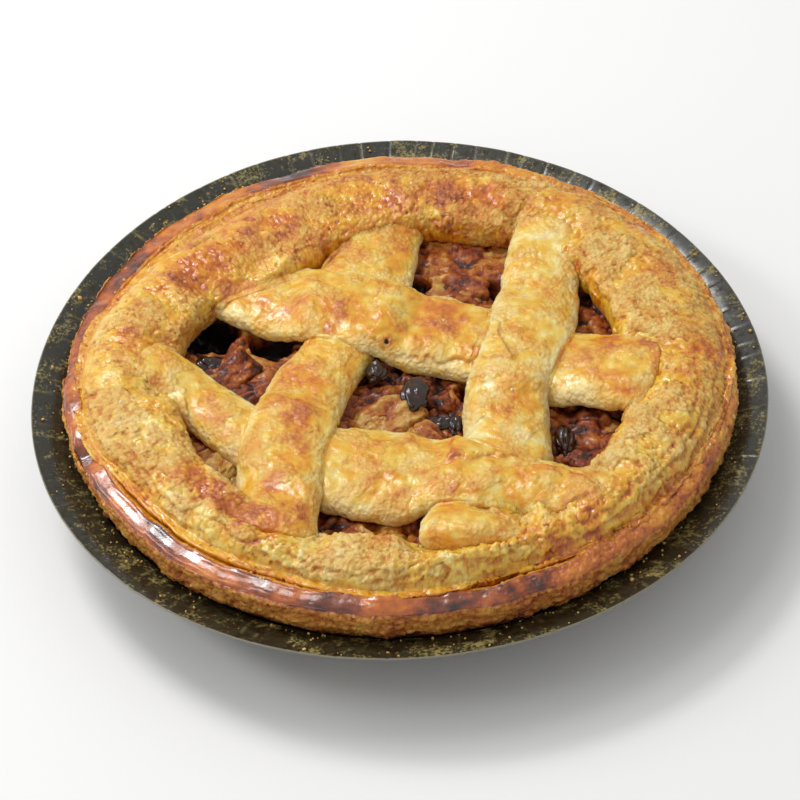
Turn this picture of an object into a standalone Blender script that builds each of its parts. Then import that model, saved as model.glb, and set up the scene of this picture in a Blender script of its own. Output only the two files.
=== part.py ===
"""A mini apple pie with a woven lattice, in the round paperboard case it was baked in.

The pie stands on z = 0 at the middle of the case's base, with +Z up and the side that
the eater sees first towards -Y. The functions work in millimetres, and the meshes are
in metres. From the outside in: the case, the crust, the filling of apple and raisins,
four lattice strips woven over and under each other, and the rolled rim of dough that
covers the ends of the strips.
"""

import math

import bmesh
import bpy
from mathutils import Euler, Matrix, Vector, noise

MM = 0.001
TURN_STEPS = 72

# The paperboard case
CASE_RADIUS = 65.0
CASE_HEIGHT = 16.0
CASE_BASE_RADIUS = 49.4
CASE_WALL_TOP_RADIUS = 57.4
CASE_WALL_TOP = 12.5
BOARD = 0.6
CASE_LOBES = 3
CASE_LOBE_DEPTH = 0.5
CASE_LOBE_TURN = math.radians(36)

# The pie as a whole: its top leans back, and nothing touches by less than this gap
GAP = 0.3
LEAN = 0.0224
LEAN_FROM = 12.5
LEAN_FULL = 19.5

# The crust
CRUST_RADIUS = 58.5
CRUST_EDGE = 19.6
CRUST_FLOOR = 3.4
LEDGE_HEIGHT = 18.3
LEDGE_INNER_RADIUS = 47.2
CRUST_RELIEF = 0.45
CRUST_WIDER_RIGHT = 0.9
EDGE_LOW_AT = (140.0, 34.0)
EDGE_LOW_BY = 1.1
EDGE_NOTCH_AT = (-162.0, 3.6)
EDGE_NOTCH_DEPTH = 1.6
CRUST_BOTTOM = BOARD + GAP

# The rolled rim of dough: its inner and outer radius in each direction, in degrees
RIM_OUTLINE = [
    (10, 39.8, 57.6),
    (30, 40.2, 57.4),
    (50, 40.6, 56.8),
    (70, 37.8, 55.2),
    (88, 36.8, 53.8),
    (104, 34.6, 52.6),
    (120, 30.8, 51.6),
    (136, 31.6, 51.2),
    (152, 37.6, 53.0),
    (172, 38.8, 55.6),
    (192, 39.2, 55.8),
    (215, 40.6, 52.9),
    (240, 42.0, 53.2),
    (268, 43.4, 54.4),
    (290, 43.6, 53.6),
    (312, 42.4, 55.4),
    (332, 42.0, 56.6),
    (352, 40.4, 57.6),
]
RIM_OUTLINE_BLEND = 11.0
RIM_TOP = 23.4
RIM_UNDER = LEDGE_HEIGHT + GAP
RIM_LIP_DROP = 2.4
RIM_RELIEF = 0.55

# The lattice strips
STRIP_LOW = 15.3
STRIP_THICKNESS = 3.0
STRIP_RISE = STRIP_THICKNESS + 0.4
STRIP_RAMP = (0.5, 4.2)
STRIP_END_RADIUS = 46.2
STRIP_STATIONS = 26
STRIP_SIDES = 12
STRIP_RELIEF = 0.25

# The filling
FILLING_TOP = 14.6
FILLING_RELIEF = 0.25
FILLING_EDGE_GAP = 0.9

# Each strip's middle line from end to end, with its width at each point
STRIPS = {
    "lattice_left_upright": [
        (2.6, 43.6, 14.0),
        (-1.2, 28.0, 14.5),
        (-6.4, 11.5, 15.0),
        (-12.0, 1.5, 15.0),
        (-16.4, -8.5, 15.5),
        (-20.0, -21.5, 15.5),
        (-21.8, -32.0, 15.5),
        (-23.8, -42.6, 16.0),
    ],
    "lattice_right_upright": [
        (30.2, 37.0, 15.0),
        (27.4, 27.0, 15.5),
        (25.8, 14.0, 15.5),
        (22.8, 0.5, 15.5),
        (19.8, -9.0, 15.5),
        (17.6, -19.0, 15.5),
        (15.6, -28.6, 14.5),
        (12.0, -37.0, 14.5),
        (7.8, -46.0, 15.5),
    ],
    "lattice_back_cross": [
        (-37.0, 28.5, 15.0),
        (-26.0, 19.6, 14.0),
        (-15.8, 15.2, 14.0),
        (-6.4, 11.5, 14.3),
        (3.0, 8.6, 14.5),
        (12.0, 5.0, 15.0),
        (22.8, 0.5, 15.5),
        (33.6, -4.0, 16.5),
        (45.5, -8.6, 16.0),
    ],
    "lattice_front_cross": [
        (-46.2, -1.0, 12.0),
        (-37.6, -6.8, 12.0),
        (-30.0, -13.0, 12.0),
        (-20.0, -21.2, 12.5),
        (-11.0, -26.6, 16.0),
        (-1.0, -28.3, 17.5),
        (8.0, -28.2, 17.0),
        (16.4, -28.6, 15.5),
        (25.0, -31.0, 14.5),
        (33.4, -34.6, 14.0),
    ],
}

# Which strip each one passes over, and so which one it passes under is another's entry
PASSES_OVER = {
    "lattice_left_upright": "lattice_front_cross",
    "lattice_right_upright": "lattice_back_cross",
    "lattice_back_cross": "lattice_left_upright",
    "lattice_front_cross": "lattice_right_upright",
}

# Apple pieces that show between the strips: middle, size, and how they lie in degrees
APPLE_PIECES = [
    ((-1.5, -8.8, 14.6), (11.5, 8.5, 5.0), (14, -8, 20)),
    ((6.2, -13.6, 14.2), (8.5, 6.5, 5.0), (-10, 12, -35)),
    ((7.6, -4.2, 14.4), (7.0, 6.0, 4.6), (8, 20, 60)),
    ((-28.6, 4.6, 14.0), (9.5, 7.0, 5.4), (20, -16, 50)),
    ((-33.0, 3.4, 13.8), (7.5, 5.5, 4.6), (-12, 10, 10)),
    ((12.6, 23.0, 14.0), (9.0, 8.0, 5.4), (18, 12, -20)),
    ((16.2, 20.6, 13.2), (5.0, 5.0, 4.2), (-15, 20, 25)),
    ((37.0, 11.0, 13.6), (5.0, 9.0, 4.4), (6, 14, 12)),
    ((32.2, -20.4, 14.2), (8.0, 7.5, 4.6), (-14, 10, 40)),
    ((36.6, -17.0, 13.8), (5.5, 5.0, 4.4), (15, -20, 5)),
    ((-5.6, -38.6, 13.6), (9.0, 4.0, 4.0), (0, 6, 4)),
    ((2.0, -40.0, 13.5), (5.0, 4.0, 3.6), (8, -10, 30)),
    ((-31.2, -21.2, 13.4), (6.0, 4.4, 4.0), (5, 5, 60)),
]

# Raisins that show: middle, and half their length, width and height
RAISINS = [
    ((-3.6, -0.6, 13.7), (3.2, 2.6, 2.2)),
    ((2.6, -6.4, 16.2), (3.3, 2.7, 2.2)),
    ((7.4, -11.0, 15.2), (3.3, 2.4, 2.0)),
    ((29.0, -17.2, 14.8), (2.4, 3.4, 2.3)),
    ((-33.4, 7.0, 14.4), (3.2, 2.5, 2.0)),
    ((9.8, 18.8, 14.0), (2.4, 3.0, 1.9)),
    ((36.4, 5.6, 14.2), (2.2, 3.0, 2.0)),
    ((-10.6, -37.8, 13.9), (2.6, 2.0, 1.6)),
]

PIE = bpy.data.collections.new("mini_apple_pie")
HEAP = bpy.data.collections.new("filling_pieces")


def material(name, colour, roughness, metallic=0.0):
    """A plain Principled material in the part's own colour."""
    made = bpy.data.materials.new(name)
    made.use_nodes = True
    shader = made.node_tree.nodes["Principled BSDF"]
    shader.inputs["Base Color"].default_value = (*colour, 1.0)
    shader.inputs["Roughness"].default_value = roughness
    shader.inputs["Metallic"].default_value = metallic
    return made


def add(name, mesh, finish, smooth_below=40.0):
    """Puts a mesh into the pie under its node's name, shaded smooth but for sharp edges."""
    mesh.name = name
    mesh.materials.clear()
    mesh.materials.append(finish)
    mesh.shade_smooth()
    mesh.set_sharp_from_angle(angle=math.radians(smooth_below))
    made = bpy.data.objects.new(name, mesh)
    PIE.objects.link(made)
    return made


def applied(source):
    """The mesh that an object's modifiers make. The object itself is removed."""
    bpy.context.view_layer.update()
    graph = bpy.context.evaluated_depsgraph_get()
    mesh = bpy.data.meshes.new_from_object(source.evaluated_get(graph))
    bpy.data.objects.remove(source)
    return mesh


def turned(profile, closed):
    """The solid that a profile of (radius, height) sweeps round the Z axis.

    The profile runs down its outer side. An open one starts and ends on the axis, and a
    closed one comes back to its first point.
    """
    mesh = bpy.data.meshes.new("profile")
    edges = [(i, i + 1) for i in range(len(profile) - 1)]
    if closed:
        edges.append((len(profile) - 1, 0))
    mesh.from_pydata([(r * MM, 0.0, z * MM) for r, z in profile], edges, [])
    sweep = bpy.data.objects.new("profile", mesh)
    bpy.context.scene.collection.objects.link(sweep)
    screw = sweep.modifiers.new("turn", "SCREW")
    screw.axis = "Z"
    screw.steps = TURN_STEPS
    screw.render_steps = TURN_STEPS
    screw.use_merge_vertices = True
    screw.merge_threshold = 0.00001
    screw.use_normal_calculate = True
    return applied(sweep)


def moved(mesh, rule):
    """Every vertex of the mesh goes where the rule, which works in millimetres, puts it."""
    for vertex in mesh.vertices:
        vertex.co = rule(vertex.co / MM) * MM
    mesh.update()
    return mesh


def smooth_step(value, start, end):
    """0 below start, 1 above end, and a soft curve between them."""
    share = min(1.0, max(0.0, (value - start) / (end - start)))
    return share * share * (3.0 - 2.0 * share)


def leaned(point):
    """The point after the baked top has sunk towards the back, above the case's wall."""
    share = max(0.0, (point.z - LEAN_FROM) / (LEAN_FULL - LEAN_FROM))
    return Vector((point.x, point.y, point.z - LEAN * point.y * share))


def rough(point, size, seed):
    """Fractal noise from about -1 to 1 whose lumps are about size across."""
    return noise.fractal(point / size + Vector((seed, 2.0 * seed, 3.0 * seed)), 1.0, 2.0, 3)


def angle_of(point):
    return math.atan2(point.y, point.x)


def near_angle(angle, degrees, spread):
    """1 in one direction, falling to 0 over a spread of degrees on each side of it."""
    apart = (math.degrees(angle) - degrees + 180.0) % 360.0 - 180.0
    return math.exp(-((apart / spread) ** 2))


def rim_edges(angle):
    """The rolled rim's inner and outer radius in a direction, from the outline's nearest rows."""
    weights = [near_angle(angle, row[0], RIM_OUTLINE_BLEND) for row in RIM_OUTLINE]
    inner = sum(w * row[1] for w, row in zip(weights, RIM_OUTLINE)) / sum(weights)
    outer = sum(w * row[2] for w, row in zip(weights, RIM_OUTLINE)) / sum(weights)
    return inner, outer


def case_wall(point):
    """The case is a little out of round above its base, as bent board is."""
    share = smooth_step(point.z, BOARD, CASE_HEIGHT)
    angle = angle_of(point)
    radius = math.hypot(point.x, point.y)
    bent = CASE_LOBE_DEPTH * math.cos(CASE_LOBES * (angle - CASE_LOBE_TURN)) * share
    outward = smooth_step(radius, CASE_WALL_TOP_RADIUS, CASE_RADIUS)
    scale = 1.0 - bent * outward / max(radius, 1.0)
    return Vector((point.x * scale, point.y * scale, point.z))


def make_case(finish):
    """Flat base, steep wall and a wide lip that rises to the cut edge."""
    inner = [
        (CASE_BASE_RADIUS - 0.8, BOARD),
        (CASE_BASE_RADIUS + 0.4, BOARD + 0.7),
        (CASE_WALL_TOP_RADIUS, CASE_WALL_TOP),
        (CASE_WALL_TOP_RADIUS + 1.2, CASE_WALL_TOP + 1.0),
        (CASE_WALL_TOP_RADIUS + 4.4, CASE_WALL_TOP + 2.3),
        (CASE_RADIUS - 0.2, CASE_HEIGHT),
    ]
    outer = [
        (CASE_RADIUS, CASE_HEIGHT - BOARD),
        (CASE_WALL_TOP_RADIUS + 4.6, CASE_WALL_TOP + 1.65),
        (CASE_WALL_TOP_RADIUS + 1.6, CASE_WALL_TOP + 0.4),
        (CASE_WALL_TOP_RADIUS + 0.7, CASE_WALL_TOP - 0.4),
        (CASE_BASE_RADIUS + 1.0, 0.4),
        (CASE_BASE_RADIUS - 0.2, 0.0),
    ]
    profile = [(0.0, BOARD), *inner, *outer, (0.0, 0.0)]
    mesh = moved(turned(profile, closed=False), case_wall)
    return add("baking_case", mesh, finish)


def crust_surface(point):
    """Crumbly relief on the crust's side and edge. Inside the case it only pulls inwards.

    The standing edge is thinner where the rolled rim reaches further out, lower at the
    back on the left, and broken by one notch at the front on the left.
    """
    radius = math.hypot(point.x, point.y)
    if radius < LEDGE_INNER_RADIUS - 1.0 or point.z < 2.0:
        return leaned(point)
    angle = angle_of(point)
    way = Vector((math.cos(angle), math.sin(angle), 0.0))
    outside = smooth_step(radius, 50.0, 56.0)
    above = smooth_step(point.z, LEAN_FROM + 0.5, 15.0)
    lump = rough(point, 7.0, 1.7)
    push = CRUST_RELIEF * (lump * above - 0.5 * abs(lump) * (1.0 - above)) * outside
    push += CRUST_WIDER_RIGHT * above * smooth_step(math.cos(angle), -0.2, 1.0)
    edge = smooth_step(point.z, LEDGE_HEIGHT, CRUST_EDGE - 0.2) * outside
    if CRUST_RADIUS - 3.6 < radius < CRUST_RADIUS - 1.0 and point.z > LEDGE_HEIGHT - 0.1:
        free = rim_edges(angle)[1] + 2.2 * GAP + 0.55 * (radius - CRUST_RADIUS + 2.6)
        push = max(push, free - radius)
    lift = CRUST_RELIEF * 0.9 * rough(way * 58.0, 9.0, 8.9)
    lift -= EDGE_LOW_BY * near_angle(angle, *EDGE_LOW_AT)
    lift -= EDGE_NOTCH_DEPTH * near_angle(angle, *EDGE_NOTCH_AT)
    return leaned(point + way * push + Vector((0.0, 0.0, lift * edge)))


def make_crust(finish):
    """Bottom, side and standing edge of the crust, with the ledge that the rim lies on."""
    bottom = CRUST_BOTTOM
    wall_in = CASE_WALL_TOP_RADIUS - 0.7
    outside = [
        (CRUST_RADIUS - 2.6, CRUST_EDGE - 0.7),
        (CRUST_RADIUS - 1.5, CRUST_EDGE + 0.25),
        (CRUST_RADIUS - 0.4, CRUST_EDGE),
        (CRUST_RADIUS + 0.2, CRUST_EDGE - 1.5),
        (CRUST_RADIUS - 0.3, CRUST_EDGE - 3.2),
        (CRUST_RADIUS + 0.1, CRUST_EDGE - 4.6),
        (wall_in + 0.4, CASE_WALL_TOP + 0.9),
        (wall_in, CASE_WALL_TOP),
        (53.0, 7.1),
        (CASE_BASE_RADIUS - 0.2, bottom + 0.7),
        (CASE_BASE_RADIUS - 1.6, bottom),
    ]
    ledge = [
        (LEDGE_INNER_RADIUS, LEDGE_HEIGHT),
        (CRUST_RADIUS - 7.5, LEDGE_HEIGHT),
        (CRUST_RADIUS - 3.5, LEDGE_HEIGHT),
    ]
    hollow = [
        (0.0, bottom + CRUST_FLOOR),
        (42.6, bottom + CRUST_FLOOR),
        (44.2, bottom + CRUST_FLOOR + 1.0),
    ]
    profile = [*hollow, *ledge, *outside, (0.0, bottom)]
    mesh = moved(turned(profile, closed=False), crust_surface)
    return add("pie_crust", mesh, finish)


def along(stations, share):
    """The point at a share of the way along, on a smooth curve through all stations."""
    place = share * (len(stations) - 1)
    i = min(int(place), len(stations) - 2)
    t = place - i
    last = len(stations) - 1
    four = [stations[min(max(i + k, 0), last)] for k in (-1, 0, 1, 2)]
    values = []
    for p0, p1, p2, p3 in zip(*four):
        bend = 2 * p0 - 5 * p1 + 4 * p2 - p3
        cubic = 3 * p1 - p0 - 3 * p2 + p3
        values.append(0.5 * (2 * p1 + (p2 - p0) * t + bend * t * t + cubic * t ** 3))
    return values


PATHS = {name: [along(line, i / 60) for i in range(61)] for name, line in STRIPS.items()}


def outside_strip(name, point):
    """How far a point lies outside a strip's sides, seen from above. Inside it is below 0."""
    return min(math.hypot(point.x - x, point.y - y) - w / 2 for x, y, w in PATHS[name])


def strip_rise(name, point, spare=0.0):
    """How much higher than its lowest a strip lies at a point, where it passes over another."""
    beyond = outside_strip(PASSES_OVER[name], point) - spare
    return STRIP_RISE * (1.0 - smooth_step(beyond, *STRIP_RAMP))


def rim_surface(point):
    """The rim's section, set between its uneven inner and outer edges.

    The section is drawn with its radius as a share from 0 at the inner edge to 100 at
    the outer one. The inner lip hangs down towards the filling, but for where it lies
    on a strip, which it follows.
    """
    share = (math.hypot(point.x, point.y) - 100.0) / 100.0
    angle = angle_of(point)
    inner, outer = rim_edges(angle)
    radius = inner + (outer - inner) * share
    way = Vector((math.cos(angle), math.sin(angle), 0.0))
    z = point.z
    at = way * radius + Vector((0.0, 0.0, z))
    top = smooth_step(z, RIM_UNDER + 0.4, RIM_UNDER + 2.4)
    lump = rough(at, 8.0, 4.4)
    radius += 0.5 * RIM_RELIEF * lump * top
    z += RIM_RELIEF * (lump + 0.6 * rough(at, 19.0, 6.6)) * top
    lip = 1.0 - smooth_step(radius, LEDGE_INNER_RADIUS - 6.4, LEDGE_INNER_RADIUS - 2.4)
    low = 1.0 - smooth_step(z, RIM_UNDER, RIM_UNDER + 1.6)
    covered = 0.0
    lift = 0.0
    for name in STRIPS:
        near = 1.0 - smooth_step(outside_strip(name, at), 3.0, 6.0)
        covered = max(covered, near)
        lift = max(lift, near * strip_rise(name, at, spare=2.2))
    z += lift * lip * (low + 0.6 * (1.0 - low)) - RIM_LIP_DROP * lip * low * (1.0 - covered)
    return leaned(way * radius + Vector((0.0, 0.0, z)))


def make_rim(finish):
    """A rope of dough, higher outside than inside, laid over the ends of the strips."""
    section = [
        (0, RIM_UNDER + 1.3),
        (3, RIM_TOP - 2.0),
        (14, RIM_TOP - 1.0),
        (28, RIM_TOP - 0.4),
        (44, RIM_TOP),
        (62, RIM_TOP),
        (80, RIM_TOP - 0.6),
        (94, RIM_TOP - 1.8),
        (100, RIM_UNDER + 1.1),
        (96, RIM_UNDER),
        (70, RIM_UNDER),
        (48, RIM_UNDER),
        (32, RIM_UNDER),
        (18, RIM_UNDER),
        (6, RIM_UNDER),
    ]
    profile = [(100.0 + share, z) for share, z in section]
    mesh = moved(turned(profile, closed=True), rim_surface)
    return add("rolled_rim", mesh, finish)


def strip_section(width, thickness):
    """A strip's outline across it: a flattened oval with a fuller top than underside."""
    points = []
    for k in range(STRIP_SIDES):
        angle = 2 * math.pi * (k + 0.5) / STRIP_SIDES
        across, up = math.cos(angle), math.sin(angle)
        across = math.copysign(abs(across) ** 0.75, across)
        up = math.copysign(abs(up) ** (0.75 if up > 0 else 0.45), up)
        points.append((across * width / 2, (0.5 + 0.5 * up) * thickness))
    return points


def make_strip(name, stations, finish):
    """A ribbon of dough that follows its middle line, low or high at each crossing."""
    mesh = bpy.data.meshes.new(name)
    shell = bmesh.new()
    rings = []
    for i in range(STRIP_STATIONS + 1):
        share = i / STRIP_STATIONS
        x, y, width = along(stations, share)
        before = along(stations, max(0.0, share - 0.01))
        after = along(stations, min(1.0, share + 0.01))
        ahead = Vector((after[0] - before[0], after[1] - before[1], 0.0)).normalized()
        across = Vector((ahead.y, -ahead.x, 0.0))
        ring = []
        for side, up in strip_section(width, STRIP_THICKNESS):
            point = Vector((x, y, 0.0)) + across * side
            edge = abs(side) / (width / 2)
            point += across * STRIP_RELIEF * 2 * rough(point, 6.0, len(name)) * edge
            reach = math.hypot(point.x, point.y)
            point *= min(1.0, STRIP_END_RADIUS / reach)
            point.z = STRIP_LOW + strip_rise(name, point) + up
            ring.append(shell.verts.new(leaned(point) * MM))
        rings.append(ring)
    for ring, following in zip(rings, rings[1:]):
        for k in range(STRIP_SIDES):
            m = (k + 1) % STRIP_SIDES
            shell.faces.new((ring[k], ring[m], following[m], following[k]))
    shell.faces.new(rings[0])
    shell.faces.new(rings[-1])
    bmesh.ops.recalc_face_normals(shell, faces=shell.faces[:])
    bmesh.ops.triangulate(shell, faces=[f for f in shell.faces if len(f.verts) > 4])
    shell.to_mesh(mesh)
    shell.free()
    return add(name, mesh, finish)


def heap_piece(mesh):
    made = bpy.data.objects.new("piece", mesh)
    HEAP.objects.link(made)
    return made


def add_apple(middle, size, turn):
    """An apple cube with cut corners."""
    mesh = bpy.data.meshes.new("apple")
    cube = bmesh.new()
    bmesh.ops.create_cube(cube, size=1.0)
    bmesh.ops.bevel(cube, geom=cube.edges[:], offset=0.16, segments=1, affect="EDGES")
    cube.to_mesh(mesh)
    cube.free()
    tilt = Euler([math.radians(a) for a in turn]).to_matrix().to_4x4()
    scale = Matrix.Diagonal((*size, 1.0))
    mesh.transform(tilt @ scale)
    moved(mesh, lambda point: leaned(point * MM + Vector(middle)) / 1.0)
    return heap_piece(mesh)


def add_raisin(middle, half):
    """A raisin: an oval with the dents that its skin shrinks into."""
    mesh = bpy.data.meshes.new("raisin")
    ball = bmesh.new()
    bmesh.ops.create_icosphere(ball, subdivisions=2, radius=1.0)
    ball.to_mesh(mesh)
    ball.free()

    def wrinkled(point):
        unit = point * MM
        dent = 1.0 + 0.16 * rough(unit * 3.0, 2.0, middle[0])
        stretched = Vector((unit.x * half[0], unit.y * half[1], unit.z * half[2])) * dent
        return leaned(stretched + Vector(middle))

    return heap_piece(moved(mesh, wrinkled))


def filling_surface(point):
    """The bare heap's lumpy top."""
    top = smooth_step(point.z, FILLING_TOP - 2.0, FILLING_TOP - 0.2)
    lump = FILLING_RELIEF * (rough(point, 6.0, 9.7) - 0.6)
    return leaned(point + Vector((0.0, 0.0, lump * top)))


def make_filling(finish):
    """Stewed apple that fills the crust, with the pieces that show fused to its top."""
    floor = CRUST_BOTTOM + CRUST_FLOOR + GAP
    radius = LEDGE_INNER_RADIUS - FILLING_EDGE_GAP
    profile = [(0.0, FILLING_TOP)]
    profile += [(r, FILLING_TOP) for r in (8.0, 16.0, 24.0, 32.0, 39.5)]
    profile += [(radius - 0.9, FILLING_TOP - 0.6), (43.2, floor + 1.1), (42.0, floor)]
    profile += [(0.0, floor)]
    mesh = moved(turned(profile, closed=False), filling_surface)
    core = add("apple_filling", mesh, finish)
    for piece in APPLE_PIECES:
        add_apple(*piece)
    for piece in RAISINS:
        add_raisin(*piece)
    union = core.modifiers.new("heap", "BOOLEAN")
    union.operation = "UNION"
    union.operand_type = "COLLECTION"
    union.collection = HEAP
    union.solver = "EXACT"
    joined = applied(core)
    for piece in list(HEAP.objects):
        bpy.data.objects.remove(piece)
    return add("apple_filling", joined, finish)


def main():
    for old in list(bpy.data.objects):
        bpy.data.objects.remove(old)
    bpy.context.scene.collection.children.link(PIE)
    bpy.context.scene.collection.children.link(HEAP)
    board = material("dark_board", (0.018, 0.019, 0.013), 0.35)
    baked = material("baked_dough", (0.68, 0.33, 0.09), 0.55)
    glazed = material("glazed_dough", (0.80, 0.47, 0.12), 0.35)
    stewed = material("stewed_apple", (0.26, 0.09, 0.03), 0.3)
    make_case(board)
    make_crust(baked)
    make_filling(stewed)
    for name, stations in STRIPS.items():
        make_strip(name, stations, glazed)
    make_rim(baked)
    bpy.data.collections.remove(HEAP)


main()
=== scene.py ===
"""The looks of the mini apple pie: its board case, crust, rolled rim, lattice and filling.

Lengths in this script are millimetres until a mesh is made. Z is up, the table is z = 0,
and the side that the camera sees first is towards -Y.
"""
import math

import bpy
import numpy as np
from mathutils import Matrix, Vector


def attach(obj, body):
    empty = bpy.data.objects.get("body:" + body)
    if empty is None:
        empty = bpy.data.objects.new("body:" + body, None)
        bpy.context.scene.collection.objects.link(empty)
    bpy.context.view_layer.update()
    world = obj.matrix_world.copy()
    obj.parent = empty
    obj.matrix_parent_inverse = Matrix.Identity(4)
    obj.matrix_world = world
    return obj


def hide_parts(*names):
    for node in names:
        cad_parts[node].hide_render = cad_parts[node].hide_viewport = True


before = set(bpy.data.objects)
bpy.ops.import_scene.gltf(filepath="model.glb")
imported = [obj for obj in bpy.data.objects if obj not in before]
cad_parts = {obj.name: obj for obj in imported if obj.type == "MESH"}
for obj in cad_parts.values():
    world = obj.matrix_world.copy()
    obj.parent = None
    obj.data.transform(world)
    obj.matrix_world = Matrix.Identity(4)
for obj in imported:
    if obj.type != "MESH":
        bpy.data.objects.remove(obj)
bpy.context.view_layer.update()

MM = 0.001
BODY = "root"
SEED = 7

# Sizes shared with the solids
CASE_LOBE = 0.5
CASE_LOBE_TURN = math.radians(36)
LEAN = 0.0224
LEAN_FROM = 12.5
LEAN_FULL = 19.5
CRUST_RADIUS = 58.5
CRUST_EDGE = 19.7
LEDGE = 18.3
LEDGE_INNER = 47.2
RIM_TOP = 23.4
RIM_UNDER = 18.2
RIM_HANG = 15.6
STRIP_LOW = 15.0
STRIP_RISE = 2.0
STRIP_RAMP = (-1.0, 5.5)
STRIP_BELLY = 2.2
STRIP_CROWN = 3.6
STRIP_ROUNDNESS = 2.3
MELT = 2.4
RIM_JOIN_HEIGHT = 18.6
FILLING_TOP = 15.6

# The rolled rim's inner and outer radius in each direction, in degrees
RIM_OUTLINE = np.array([
    (10, 39.8, 57.6),
    (30, 40.2, 57.4),
    (50, 40.6, 56.8),
    (70, 37.8, 55.2),
    (88, 36.8, 53.8),
    (104, 34.6, 52.6),
    (120, 30.8, 51.6),
    (136, 31.6, 51.2),
    (152, 37.6, 53.0),
    (172, 38.8, 55.6),
    (192, 39.2, 55.8),
    (215, 40.6, 52.9),
    (240, 42.0, 53.2),
    (268, 43.4, 54.4),
    (290, 43.6, 53.6),
    (312, 42.4, 55.4),
    (332, 42.0, 56.6),
    (352, 40.4, 57.6),
])

# Each strip's middle line from end to end, with its width at each point
STRIPS = {
    "lattice_left_upright": [
        (-0.5, 43.6, 15.0),
        (-4.4, 28.0, 16.5),
        (-7.4, 17.0, 15.0),
        (-10.4, 6.5, 13.2),
        (-15.7, -3.5, 14.4),
        (-17.9, -12.0, 15.0),
        (-20.2, -21.0, 15.0),
        (-21.2, -31.0, 15.2),
        (-22.8, -43.0, 16.0),
    ],
    "lattice_right_upright": [
        (30.6, 40.0, 13.5),
        (27.2, 26.0, 13.6),
        (25.8, 17.0, 15.0),
        (24.0, 8.0, 15.5),
        (20.4, -2.0, 14.6),
        (18.9, -8.0, 14.6),
        (18.2, -19.0, 15.4),
        (17.2, -27.0, 15.2),
        (14.2, -34.5, 15.6),
        (11.8, -40.0, 17.6),
        (10.8, -46.5, 17.6),
    ],
    "lattice_back_cross": [
        (-39.0, 31.6, 15.5),
        (-30.0, 25.8, 16.2),
        (-22.0, 20.8, 16.6),
        (-13.0, 16.6, 17.4),
        (-4.0, 13.2, 18.4),
        (5.0, 10.4, 19.2),
        (13.0, 7.2, 18.2),
        (23.0, 2.2, 17.6),
        (34.0, -2.0, 17.6),
        (46.4, -7.0, 16.5),
    ],
    "lattice_front_cross": [
        (-46.4, 3.6, 11.5),
        (-39.0, -1.6, 11.0),
        (-32.0, -8.2, 11.0),
        (-25.0, -15.0, 12.5),
        (-17.0, -20.4, 16.5),
        (-9.0, -23.6, 20.2),
        (0.0, -25.8, 20.8),
        (6.0, -26.8, 18.4),
        (13.0, -29.6, 14.5),
        (20.0, -31.4, 12.8),
        (28.0, -34.0, 12.8),
        (36.0, -38.4, 12.5),
    ],
}
PASSES_OVER = {
    "lattice_left_upright": "lattice_front_cross",
    "lattice_right_upright": "lattice_back_cross",
    "lattice_back_cross": "lattice_left_upright",
    "lattice_front_cross": "lattice_right_upright",
}

# How much each strip climbs towards the rim at its first and its last end
CLIMBS = {
    "lattice_left_upright": (0.0, 2.2),
    "lattice_right_upright": (1.8, 3.2),
    "lattice_back_cross": (2.2, 2.2),
    "lattice_front_cross": (2.2, 2.6),
}

# Where the rim slopes down to a strip's end instead of overhanging it: x, y, reach
JOINS = [
    (-22.0, -43.0, 12.0),
    (-33.0, 29.0, 13.0),
    (-24.0, 34.0, 7.0),
    (-42.5, 0.0, 10.0),
    (30.0, 36.0, 10.0),
    (44.5, -6.0, 11.0),
    (33.0, -38.0, 11.0),
    (12.0, -45.0, 14.0),
]

# Thin upper sheets of dough with a crisp edge: corners in order round each sheet
SHEETS = [
    [(11.0, -36.0), (14.0, -25.6), (24.0, -29.2), (26.8, -28.6), (33.5, -36.6), (22.0, -43.0)],
    [(12.0, -5.6), (27.2, -5.8), (27.6, -27.0), (8.0, -27.0)],
    [(-2.0, 18.4), (8.2, 17.0), (17.0, 14.0), (20.0, -2.0), (-4.0, 4.0)],
]
SHEET_DEPTH = 0.55

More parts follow.
